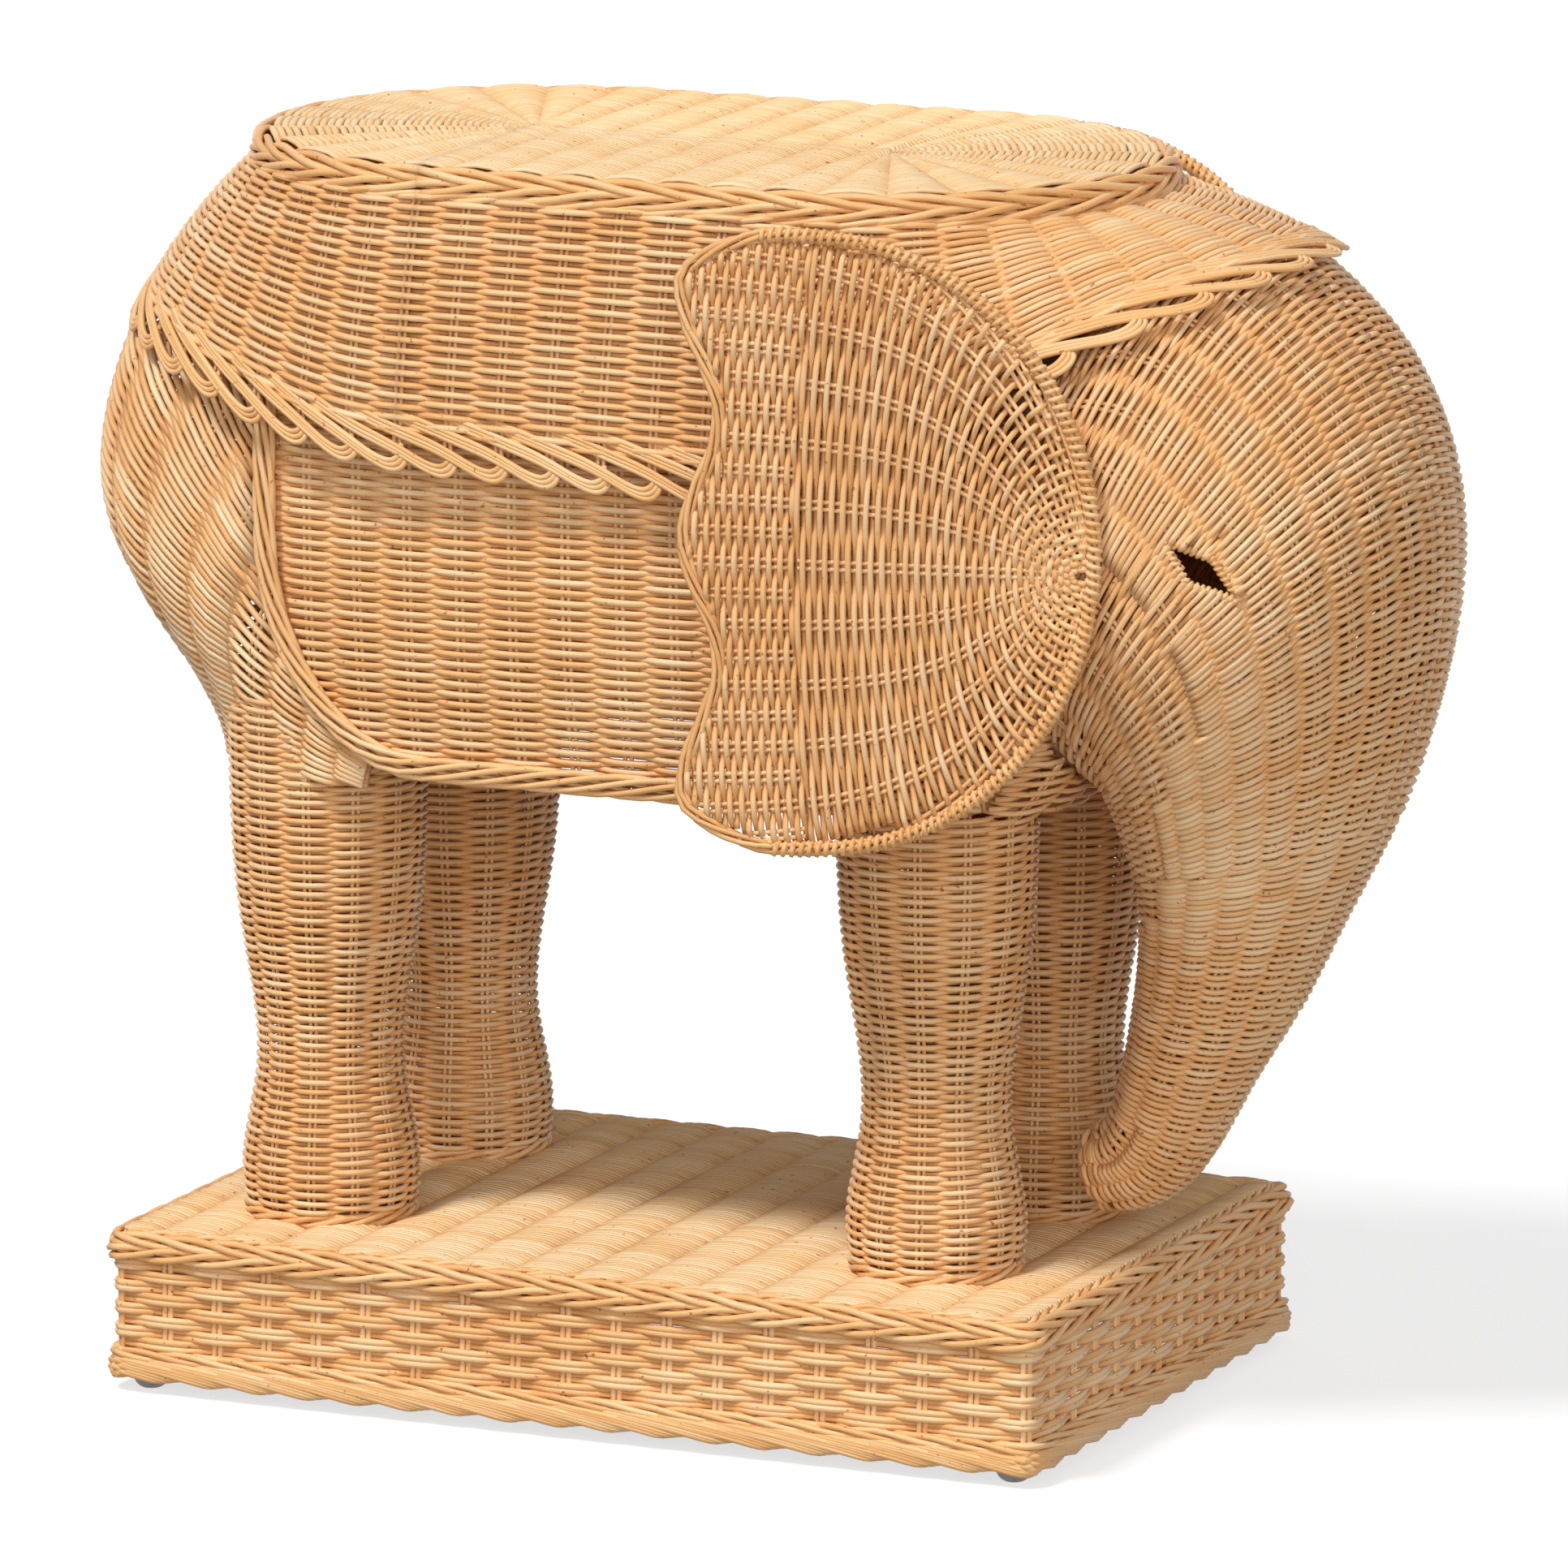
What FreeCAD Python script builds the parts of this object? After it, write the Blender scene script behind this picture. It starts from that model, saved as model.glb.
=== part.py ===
import FreeCAD, Part
import math
import os
from FreeCAD import Vector

os.makedirs("parts", exist_ok=True)

# Millimetres, +X towards the elephant's head, +Y to its left, +Z up, floor at Z = 0.
# X is measured from the middle of the plinth until the pieces are saved.

# Plinth and its frame
PLINTH_LENGTH = 417.0
PLINTH_WIDTH = 281.0
PLINTH_HEIGHT = 63.0
PLINTH_WALL = 5.0
TOP_BORDER_HEIGHT = 11.0
BOTTOM_BORDER_HEIGHT = 9.0
BORDER_PROUD = 2.5
BORDER_ROUND = 2.5
POST_DIAMETER = 16.0
RAIL_DIAMETER = 12.0

# Glides
GLIDE_DIAMETER = 15.0
GLIDE_HEIGHT = 5.0
GLIDE_FLAT = 8.0
GLIDE_BULGE = 0.9
GLIDE_NAIL_LENGTH = 20.0

# Weave thickness, clearances and fasteners
WEAVE_WALL = 4.0
FIT_GAP = 0.3
HEM_GAP = 0.6
NAIL_DIAMETER = 2.5
NAIL_LENGTH = 30.0
NAIL_SET = 5.0
NAIL_STEP = 2.0
SCREW_DIAMETER = 5.0
SCREW_LENGTH = 48.0
SCREW_HEAD_DIAMETER = 9.0
SCREW_HEAD_HEIGHT = 2.5

# Legs, radii at the belly, ankle, foot swell and foot base
FRONT_LEG_X = 132.0
FRONT_LEG_Y = 60.0
HIND_LEG_X = -141.0
HIND_LEG_Y = 66.0
FRONT_LEG_RADIUS = 42.0
HIND_LEG_RADIUS = 42.0
FRONT_ANKLE_RADIUS = 31.5
HIND_ANKLE_RADIUS = 31.5
FOOT_RADIUS = 37.5
FOOT_BASE_RADIUS = 34.5
FOOT_SWELL_HEIGHT = 19.0
ANKLE_HEIGHT = 60.0
LEG_TUCK = 32.0
CALF_SHARE = 0.6
LEG_POLE_DIAMETER = 22.0
FOOT_HOOP_DIAMETER = 6.0

# Table top and its frame
TABLE_HEIGHT = 521.0
TABLE_X = 5.0
TABLE_FOCUS = 80.0
TABLE_RADIUS = 112.0
TABLE_THICKNESS = 5.0
TABLE_BORDER_WIDTH = 7.0
TABLE_BORDER_HEIGHT = 12.0
TABLE_HOOP_DIAMETER = 14.0
TABLE_HOOP_INSET = 8.0
TABLE_BAR_DIAMETER = 12.0

# Saddle skirt, as flare outwards and drop downwards from the table edge
FLARE_SIDE = 21.0
FLARE_REAR = 54.0
FLARE_FRONT = 71.0
DROP_SIDE = 110.0
DROP_REAR = 68.0
DROP_FRONT = 20.0
DROP_TILT = 0.035
DROP_EASE = 0.5
SKIRT_BULGE = 4.0
STAKE_DIAMETER = 4.8
STAKE_HEIGHT = 1.2
STAKE_END_GAP = 2.0
SKIRT_END_STAKES = 13
SKIRT_SIDE_STAKES = 5
HEM_WIDTH = 15.0
HEM_THICKNESS = 8.0

# Body, as depths below the table top and reaches from the middle of the plinth
BODY_TOP_DEPTH = 75.0
SHOULDER_DEPTH = 115.0
RUMP_DEPTH = 153.0
THIGH_DEPTH = 200.0
HIP_DEPTH = 235.0
BELLY_DEPTH = 262.0
BODY_TOP_REAR = 241.0
SHOULDER_REAR = 258.0
RUMP_REAR = 262.0
THIGH_REAR = 239.0
HIP_REAR = 208.0
BELLY_REAR = 193.0
BODY_TOP_HALF_WIDTH = 122.0
BODY_HALF_WIDTH = 129.0
THIGH_HALF_WIDTH = 127.0
HIP_HALF_WIDTH = 121.0
BELLY_HALF_WIDTH = 115.0
CHEST_FRONT = 178.0
CHEST_RISE_FRONT = 205.0
THROAT_FRONT = 245.0
NECK_FRONT = 300.0
BODY_POWER = 2.6
THIGH_POWER = 2.8
HIP_POWER = 3.2
BELLY_POWER = 4.0

# Flank panels
FLANK_REAR = -150.0
FLANK_CORNER_X = 75.0
FLANK_CORNER_Z = 102.0
FLANK_FRONT = 165.0
FLANK_EDGE_DEPTH = 256.0
FLANK_BORDER_WIDTH = 12.0
FLANK_BORDER_THICKNESS = 5.0

# Bent ribs that stiffen the flanks
RIB_DIAMETER = 9.0
RIB_SPACING = 120.0
RIB_CORNER = 18.0

# Head and trunk
HEAD_HALF_WIDTH = 124.0
HEAD_STAKE_HEIGHT = 1.4
HEAD_STAKES = 20
TRUNK_CLEARANCE = 16.0
THROAT_DEPTH = 243.0
TRUNK_TIP_HALF_WIDTH = 21.0
NECK_HOOP_DIAMETER = 8.0
NECK_HOOP_EASE = 0.5
NECK_BAR_DIAMETER = 8.0
NECK_BAR_ANGLE = 60.0
EYE_LENGTH = 36.0
EYE_OPENING = 12.0
EYE_X = 269.0
EYE_DEPTH = 142.5
EYE_SLOPE = 41.0

# Rings of the head: front X, front depth below the table top, back X,
# back rise as a share of the trunk's height, and share of the head's extra half width
HEAD_RINGS = [
    (214.0, 34.0, 140.0, 1.108, 0.97),
    (258.0, 28.0, 172.0, 1.0, 1.0),
    (298.0, 65.0, 184.0, 0.97, 0.99),
    (322.0, 117.0, 190.0, 0.95, 0.913),
    (326.0, 169.0, 194.0, 0.92, 0.796),
    (319.0, 216.0, 198.0, 0.85, 0.65),
]

# Rings of the trunk: the same, with the front rise as a share of the trunk's height too
TRUNK_RINGS = [
    (305.0, 0.9, 202.0, 0.765, 0.495),
    (285.0, 0.68, 203.0, 0.66, 0.35),
    (264.0, 0.456, 199.0, 0.487, 0.214),
    (244.0, 0.282, 193.0, 0.333, 0.126),
    (229.0, 0.138, 188.0, 0.251, 0.068),
    (211.0, 0.04, 184.0, 0.21, 0.029),
    (186.0, 0.0, 179.0, 0.195, 0.0),
]

# Ears
EAR_HEIGHT = 250.0
EAR_FRONT_REACH = 116.0
EAR_REAR_REACH = 53.0
EAR_SCALLOP = 15.0
EAR_CORNER_REACH = 26.0
EAR_CORNER_DROP = 1.5
EAR_LOBE_PITCH = 100.0
EAR_X = 229.0
EAR_DEPTH = 136.5
EAR_SPLAY = 11.0
EAR_THICKNESS = 5.0
EAR_RIM_DIAMETER = 7.0

# Heights that follow from the sizes above
plinth_base = GLIDE_HEIGHT
plinth_top = plinth_base + PLINTH_HEIGHT
panel_under = plinth_top - PLINTH_WALL
table_under = TABLE_HEIGHT - TABLE_THICKNESS
rim_radius = TABLE_RADIUS + TABLE_BORDER_WIDTH
rim_z = TABLE_HEIGHT - TABLE_BORDER_HEIGHT
belly_z = TABLE_HEIGHT - BELLY_DEPTH
leg_top = belly_z + LEG_TUCK

X_AXIS = Vector(1, 0, 0)
Y_AXIS = Vector(0, 1, 0)
Z_AXIS = Vector(0, 0, 1)
SIDES = {"right": -1, "left": 1}

pieces = {}


def block(x0, x1, y0, y1, z0, z1):
    return Part.makeBox(x1 - x0, y1 - y0, z1 - z0, Vector(x0, y0, z0))


def rod(start, end, diameter, grow=0.0):
    axis = end - start
    return Part.makeCylinder(diameter / 2 + grow, axis.Length, start, axis)


def closed_spline(points):
    curve = Part.BSplineCurve()
    curve.interpolate(points, PeriodicFlag=True)
    return Part.Wire(curve.toShape())


def open_spline(points):
    curve = Part.BSplineCurve()
    curve.interpolate(points)
    return curve.toShape()


def mirrored(shape):
    return shape.mirror(Vector(0, 0, 0), Y_AXIS)


def fit(shape, *others):
    for other in others:
        shape = shape.cut(other)
    return shape


def largest(shape):
    return max(shape.Solids, key=lambda solid: solid.Volume)


# Plinth: a frame of poles, woven side panels, a woven top and two borders

half_length = PLINTH_LENGTH / 2
half_width = PLINTH_WIDTH / 2


def border_ring(z0, z1):
    outer = block(
        -half_length - BORDER_PROUD, half_length + BORDER_PROUD,
        -half_width - BORDER_PROUD, half_width + BORDER_PROUD, z0, z1,
    )
    outer = outer.makeFillet(BORDER_ROUND, outer.Edges)
    inner = block(
        PLINTH_WALL - half_length, half_length - PLINTH_WALL,
        PLINTH_WALL - half_width, half_width - PLINTH_WALL, z0, z1,
    )
    return outer.cut(inner)


side_z0 = plinth_base + BOTTOM_BORDER_HEIGHT
side_z1 = plinth_top - TOP_BORDER_HEIGHT
pieces["plinth_bottom_border"] = border_ring(plinth_base, side_z0)
pieces["plinth_top_border"] = border_ring(side_z1, plinth_top)
for side, sign in SIDES.items():
    outer_y = sign * half_width
    inner_y = sign * (half_width - PLINTH_WALL)
    pieces["plinth_side_" + side] = block(
        -half_length, half_length, min(outer_y, inner_y), max(outer_y, inner_y), side_z0, side_z1
    )
for side, sign in {"front": 1, "rear": -1}.items():
    outer_x = sign * half_length
    inner_x = sign * (half_length - PLINTH_WALL)
    pieces["plinth_side_" + side] = block(
        min(outer_x, inner_x), max(outer_x, inner_x),
        PLINTH_WALL - half_width, half_width - PLINTH_WALL, side_z0, side_z1,
    )

post_x = half_length - PLINTH_WALL - POST_DIAMETER / 2
post_y = half_width - PLINTH_WALL - POST_DIAMETER / 2
rail_x = half_length - PLINTH_WALL - RAIL_DIAMETER / 2
rail_y = half_width - PLINTH_WALL - RAIL_DIAMETER / 2
top_rail_z = panel_under - RAIL_DIAMETER / 2
bottom_rail_z = plinth_base + RAIL_DIAMETER / 2
corners = {}
for end, sx in {"front": 1, "rear": -1}.items():
    for side, sy in SIDES.items():
        corners[end + "_" + side] = Vector(sx * post_x, sy * post_y, 0)

nail_clear = NAIL_DIAMETER + 2 * FIT_GAP
frame_nails = []
posts = {}
post_room = []
for name, corner in corners.items():
    foot = corner + Z_AXIS * plinth_base
    head = corner + Z_AXIS * panel_under
    posts[name] = rod(foot, head, POST_DIAMETER)
    post_room.append(rod(foot, head, POST_DIAMETER, FIT_GAP))

long_rails = {}
short_rails = {}
for level, z in {"top": top_rail_z, "bottom": bottom_rail_z}.items():
    for side, sign in SIDES.items():
        rail = rod(Vector(-post_x, sign * rail_y, z), Vector(post_x, sign * rail_y, z), RAIL_DIAMETER)
        long_rails[level + "_rail_" + side] = fit(rail, *post_room)
    for end, sign in {"front": 1, "rear": -1}.items():
        rail = rod(Vector(sign * rail_x, -post_y, z), Vector(sign * rail_x, post_y, z), RAIL_DIAMETER)
        short_rails[level + "_rail_" + end] = fit(rail, *post_room)
    for sx in (-1, 1):
        for sy in (-1, 1):
            start_x = Vector(sx * (post_x + NAIL_SET), sy * (post_y + nail_clear), z + NAIL_STEP)
            start_y = Vector(sx * (post_x + nail_clear), sy * (post_y + NAIL_SET), z - NAIL_STEP)
            frame_nails.append(rod(start_x, start_x - X_AXIS * sx * NAIL_LENGTH, NAIL_DIAMETER))
            frame_nails.append(rod(start_y, start_y - Y_AXIS * sy * NAIL_LENGTH, NAIL_DIAMETER))

long_rail_room = []
for sign in SIDES.values():
    end_a = Vector(-post_x, sign * rail_y, top_rail_z)
    end_b = Vector(post_x, sign * rail_y, top_rail_z)
    long_rail_room.append(rod(end_a, end_b, RAIL_DIAMETER, FIT_GAP))
plinth_bars = {}
for name, x in {"rear": HIND_LEG_X, "middle": (HIND_LEG_X + FRONT_LEG_X) / 2, "front": FRONT_LEG_X}.items():
    bar = rod(Vector(x, -rail_y, top_rail_z), Vector(x, rail_y, top_rail_z), RAIL_DIAMETER)
    plinth_bars[name] = fit(bar, *long_rail_room)

glides = []
glide_nails = []
for corner in corners.values():
    rise = GLIDE_HEIGHT
    edge = GLIDE_DIAMETER / 2
    flat = GLIDE_FLAT / 2
    chord = Vector(edge - flat, 0, rise)
    bulge = Vector(rise, 0, flat - edge).normalize() * GLIDE_BULGE
    dome = Part.Arc(Vector(flat, 0, 0), Vector(flat, 0, 0) + chord / 2 + bulge, Vector(edge, 0, rise)).toShape()
    outline = [
        Part.makeLine(Vector(0, 0, 0), Vector(flat, 0, 0)),
        dome,
        Part.makeLine(Vector(edge, 0, rise), Vector(0, 0, rise)),
        Part.makeLine(Vector(0, 0, rise), Vector(0, 0, 0)),
    ]
    glide = Part.Face(Part.Wire(outline)).revolve(Vector(0, 0, 0), Z_AXIS, 360)
    glide.translate(corner)
    glides.append(glide)
    nail_foot = corner + Z_AXIS * rise
    glide_nails.append(rod(nail_foot, nail_foot + Z_AXIS * GLIDE_NAIL_LENGTH, NAIL_DIAMETER))

# Table frame: an oval hoop with three bars, carried by the four leg poles


def oval_path(radius, z):
    x0 = TABLE_X - TABLE_FOCUS
    x1 = TABLE_X + TABLE_FOCUS
    edges = [
        Part.makeLine(Vector(x0, -radius, z), Vector(x1, -radius, z)),
        Part.Arc(Vector(x1, -radius, z), Vector(x1 + radius, 0, z), Vector(x1, radius, z)).toShape(),
        Part.makeLine(Vector(x1, radius, z), Vector(x0, radius, z)),
        Part.Arc(Vector(x0, radius, z), Vector(x0 - radius, 0, z), Vector(x0, -radius, z)).toShape(),
    ]
    return Part.Wire(edges)


def oval_ring(radius, z, half_wide, half_high):
    middle = Vector(TABLE_X, -radius, z)
    if math.isclose(half_wide, half_high):
        curve = Part.Circle(middle, X_AXIS, half_wide)
    elif half_high > half_wide:
        curve = Part.Ellipse(middle + Z_AXIS * half_high, middle + Y_AXIS * half_wide, middle)
    else:
        curve = Part.Ellipse(middle + Y_AXIS * half_wide, middle + Z_AXIS * half_high, middle)
    return oval_path(radius, z).makePipeShell([Part.Wire(curve.toShape())], True, True)


def hoop_half_width(x):
    past = max(0.0, abs(x - TABLE_X) - TABLE_FOCUS)
    return math.sqrt(hoop_radius ** 2 - past ** 2)


hoop_radius = TABLE_RADIUS - TABLE_HOOP_INSET
hoop_z = table_under - TABLE_HOOP_DIAMETER / 2
bar_z = table_under - TABLE_BAR_DIAMETER / 2
hoop_half = TABLE_HOOP_DIAMETER / 2
table_hoop = oval_ring(hoop_radius, hoop_z, hoop_half, hoop_half)
hoop_room = oval_ring(hoop_radius, hoop_z, hoop_half + FIT_GAP, hoop_half + FIT_GAP)
table_bars = {}
table_nails = []
for name, x in {"rear": HIND_LEG_X, "middle": TABLE_X, "front": FRONT_LEG_X}.items():
    reach = hoop_half_width(x)
    bar = rod(Vector(x, -reach, bar_z), Vector(x, reach, bar_z), TABLE_BAR_DIAMETER)
    table_bars[name] = largest(fit(bar, hoop_room))
    for sign in SIDES.values():
        start = Vector(x, sign * (reach + hoop_half / 2), bar_z)
        table_nails.append(rod(start, start - Y_AXIS * sign * NAIL_LENGTH, NAIL_DIAMETER))

leg_places = {}
for side, sign in SIDES.items():
    leg_places["front_" + side] = Vector(FRONT_LEG_X, sign * FRONT_LEG_Y, 0)
    leg_places["hind_" + side] = Vector(HIND_LEG_X, sign * HIND_LEG_Y, 0)


def pole_screw(start, direction):
    shank = rod(start, start + direction * SCREW_LENGTH, SCREW_DIAMETER)
    head = rod(start - direction * SCREW_HEAD_HEIGHT, start, SCREW_HEAD_DIAMETER)
    return shank.fuse(head).removeSplitter()


leg_poles = {}
pole_screws = []
across = Y_AXIS * LEG_POLE_DIAMETER
for name, place in leg_places.items():
    low = place + Z_AXIS * top_rail_z
    high = place + Z_AXIS * bar_z
    leg_poles[name] = largest(fit(
        rod(low, high, LEG_POLE_DIAMETER),
        rod(low - across, low + across, RAIL_DIAMETER, FIT_GAP),
        rod(high - across, high + across, TABLE_BAR_DIAMETER, FIT_GAP),
        hoop_room,
    ))
    pole_screws.append(pole_screw(low - Z_AXIS * RAIL_DIAMETER / 2, Z_AXIS))

top_panel = block(
    PLINTH_WALL - half_length + FIT_GAP, half_length - PLINTH_WALL - FIT_GAP,
    PLINTH_WALL - half_width + FIT_GAP, half_width - PLINTH_WALL - FIT_GAP, panel_under, plinth_top,
)
for place in leg_places.values():
    hole = rod(place + Z_AXIS * panel_under, place + Z_AXIS * plinth_top, LEG_POLE_DIAMETER, FIT_GAP)
    top_panel = top_panel.cut(hole)
pieces["plinth_top_panel"] = top_panel

# Legs: woven tubes with a swollen foot, an ankle and a widening calf, each round its pole


def leg_weave(place, radius, ankle):
    height = leg_top - plinth_top
    calf = belly_z - plinth_top
    profile = [
        (FOOT_BASE_RADIUS, 0.0),
        (FOOT_RADIUS, FOOT_SWELL_HEIGHT),
        (ankle, ANKLE_HEIGHT),
        (ankle + CALF_SHARE * (radius - ankle), (ANKLE_HEIGHT + calf) / 2),
        (radius, calf),
        (radius, height),
    ]
    outer = [Vector(r, 0, z) for r, z in profile]
    inner = [Vector(r - WEAVE_WALL, 0, z) for r, z in profile]
    outline = Part.Wire([
        open_spline(outer),
        Part.makeLine(outer[-1], inner[-1]),
        open_spline(inner[::-1]),
        Part.makeLine(inner[0], outer[0]),
    ])
    tube = Part.Face(outline).revolve(Vector(0, 0, 0), Z_AXIS, 360)
    tube.translate(place + Z_AXIS * plinth_top)
    return tube


leg_weaves = {}
foot_hoops = []
for name, place in leg_places.items():
    if name.startswith("front"):
        leg_weaves[name] = leg_weave(place, FRONT_LEG_RADIUS, FRONT_ANKLE_RADIUS)
    else:
        leg_weaves[name] = leg_weave(place, HIND_LEG_RADIUS, HIND_ANKLE_RADIUS)
    ring_radius = FOOT_BASE_RADIUS - WEAVE_WALL - FIT_GAP - FOOT_HOOP_DIAMETER / 2
    ring = Part.makeTorus(ring_radius, FOOT_HOOP_DIAMETER / 2)
    ring.translate(place + Z_AXIS * (plinth_top + FOOT_HOOP_DIAMETER / 2))
    foot_hoops.append(ring)

# Table top and saddle skirt

table_path = oval_path(TABLE_RADIUS - FIT_GAP, table_under)
pieces["table_top"] = Part.Face(table_path).extrude(Z_AXIS * TABLE_THICKNESS)
pieces["table_border"] = oval_ring(
    TABLE_RADIUS + TABLE_BORDER_WIDTH / 2, TABLE_HEIGHT - TABLE_BORDER_HEIGHT / 2,
    TABLE_BORDER_WIDTH / 2, TABLE_BORDER_HEIGHT / 2,
)


def rim_stations(per_end, per_side):
    stations = []
    for sign in (1, -1):
        middle = TABLE_X + sign * TABLE_FOCUS
        for step in range(per_end + 1):
            angle = math.pi * (step / per_end - 0.5)
            nx = sign * math.cos(angle)
            ny = sign * math.sin(angle)
            stations.append((middle + rim_radius * nx, rim_radius * ny, nx, ny))
        for step in range(1, per_side):
            along = 1 - 2 * step / per_side
            stations.append((TABLE_X + sign * along * TABLE_FOCUS, sign * rim_radius, 0.0, sign * 1.0))
    return stations


def skirt_line(station):
    x, y, nx, ny = station
    end = nx * nx
    flare = FLARE_SIDE + ((FLARE_FRONT if nx > 0 else FLARE_REAR) - FLARE_SIDE) * end
    rise = end * (1 + DROP_EASE - DROP_EASE * end)
    drop = DROP_SIDE + ((DROP_FRONT if nx > 0 else DROP_REAR) - DROP_SIDE) * rise
    drop += DROP_TILT * (x - TABLE_X) * (1 - rise)
    return flare, drop


def on_skirt(station, along, lift):
    x, y, nx, ny = station
    flare, drop = skirt_line(station)
    length = math.hypot(flare, drop)
    share = along / length
    lift = lift + SKIRT_BULGE * 4 * share * (1 - share)
    out = flare * share + lift * drop / length
    down = drop * share - lift * flare / length
    return Vector(x + nx * out, y + ny * out, rim_z - down)


def skirt_length(station):
    return math.hypot(*skirt_line(station))


def skirt_section(station, grow):
    # the skirt ends above the hem, and the room kept free for it runs on into the hem
    trim = HEM_WIDTH / 2 if grow else HEM_WIDTH + HEM_GAP
    end = skirt_length(station) - trim
    stops = (-grow, end / 2, end)
    outer = [on_skirt(station, along, grow) for along in stops]
    inner = [on_skirt(station, along, -WEAVE_WALL - grow) for along in stops]
    return Part.Wire([
        open_spline(outer),
        Part.makeLine(outer[-1], inner[-1]),
        open_spline(inner[::-1]),
        Part.makeLine(inner[0], outer[0]),
    ])


def hem_section(station, grow):
    middle = skirt_length(station) - HEM_WIDTH / 2
    points = []
    for step in range(8):
        angle = math.pi * step / 4
        along = middle + (HEM_WIDTH / 2 + grow) * math.cos(angle)
        lift = (HEM_THICKNESS / 2 + grow) * math.sin(angle) - WEAVE_WALL / 2
        points.append(on_skirt(station, along, lift))
    return closed_spline(points)


def saddle_loft(section, grow):
    return Part.makeLoft([section(station, grow) for station in rim_stations(8, 3)], True, False, True)


def skirt_stake(station):
    lift = STAKE_HEIGHT - STAKE_DIAMETER / 2
    top = STAKE_DIAMETER
    end = skirt_length(station) - HEM_WIDTH - STAKE_END_GAP
    line = open_spline([on_skirt(station, along, lift) for along in (top, (top + end) / 2, end)])
    start = line.valueAt(line.FirstParameter)
    section = Part.Wire(Part.makeCircle(STAKE_DIAMETER / 2, start, line.tangentAt(line.FirstParameter)))
    return Part.Wire([line]).makePipeShell([section], True, False)


hem_room = saddle_loft(hem_section, HEM_GAP)
skirt_room = saddle_loft(skirt_section, FIT_GAP)
pieces["saddle_hem"] = saddle_loft(hem_section, 0.0)
stakes = [skirt_stake(station) for station in rim_stations(SKIRT_END_STAKES, SKIRT_SIDE_STAKES)]
pieces["saddle_skirt"] = saddle_loft(skirt_section, 0.0).fuse(stakes)

# Form of the body below the saddle, and the outline of a flank panel on it

body_levels = [
    (BODY_TOP_DEPTH, NECK_FRONT, BODY_TOP_REAR, BODY_TOP_HALF_WIDTH, BODY_POWER),
    (SHOULDER_DEPTH, NECK_FRONT, SHOULDER_REAR, BODY_HALF_WIDTH, BODY_POWER),
    (RUMP_DEPTH, NECK_FRONT, RUMP_REAR, BODY_HALF_WIDTH, BODY_POWER),
    (THIGH_DEPTH, THROAT_FRONT, THIGH_REAR, THIGH_HALF_WIDTH, THIGH_POWER),
    (HIP_DEPTH, CHEST_RISE_FRONT, HIP_REAR, HIP_HALF_WIDTH, HIP_POWER),
    (BELLY_DEPTH, CHEST_FRONT, BELLY_REAR, BELLY_HALF_WIDTH, BELLY_POWER),
]


def body_level(depth, front, rear, wide, power, count=32):
    points = []
    for step in range(count):
        angle = 2 * math.pi * step / count
        c = math.cos(angle)
        s = math.sin(angle)
        reach = front if c > 0 else rear
        x = math.copysign(abs(c) ** (2 / power), c) * reach
        y = math.copysign(abs(s) ** (2 / power), s) * wide
        points.append(Vector(x, y, TABLE_HEIGHT - depth))
    return closed_spline(points)


def body_form(grow):
    wires = []
    for depth, front, rear, wide, power in body_levels:
        wires.append(body_level(depth, front + grow, rear + grow, wide + grow, power))
    return Part.makeLoft(wires, True)


def flank_region(inset, side):
    top = TABLE_HEIGHT
    low = TABLE_HEIGHT - FLANK_EDGE_DEPTH + inset
    rear = FLANK_REAR + inset
    corner_x = FLANK_REAR + FLANK_CORNER_X
    corner_z = TABLE_HEIGHT - FLANK_EDGE_DEPTH + FLANK_CORNER_Z
    wide = FLANK_CORNER_X - inset
    high = FLANK_CORNER_Z - inset
    points = [Vector(corner_x - wide * math.cos(a), 0, corner_z - high * math.sin(a))
              for a in [math.pi * step / 12 for step in range(7)]]
    outline = Part.Wire([
        Part.makeLine(Vector(rear, 0, top), points[0]),
        open_spline(points),
        Part.makeLine(points[-1], Vector(FLANK_FRONT, 0, low)),
        Part.makeLine(Vector(FLANK_FRONT, 0, low), Vector(FLANK_FRONT, 0, top)),
        Part.makeLine(Vector(FLANK_FRONT, 0, top), Vector(rear, 0, top)),
    ])
    depth = BODY_HALF_WIDTH + FLANK_BORDER_THICKNESS + WEAVE_WALL
    return Part.Face(outline).extrude(Y_AXIS * side * depth)


# Head and trunk: one woven horn, as rings that turn from the neck to the curled tip

trunk_low = plinth_top + TRUNK_CLEARANCE
throat_z = TABLE_HEIGHT - THROAT_DEPTH


def trunk_z(share):
    return trunk_low + share * (throat_z - trunk_low)


def ring_half_width(share):
    return TRUNK_TIP_HALF_WIDTH + share * (HEAD_HALF_WIDTH - TRUNK_TIP_HALF_WIDTH)


# Front point, back point and half width of each ring
rings = []
for front_x, depth, back_x, back_rise, share in HEAD_RINGS:
    front = Vector(front_x, 0, TABLE_HEIGHT - depth)
    rings.append((front, Vector(back_x, 0, trunk_z(back_rise)), ring_half_width(share)))
for front_x, front_rise, back_x, back_rise, share in TRUNK_RINGS:
    front = Vector(front_x, 0, trunk_z(front_rise))
    rings.append((front, Vector(back_x, 0, trunk_z(back_rise)), ring_half_width(share)))


def ring_frame(ring):
    front, back, wide = ring
    return (front + back) / 2, (front - back) / 2, wide


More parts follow.
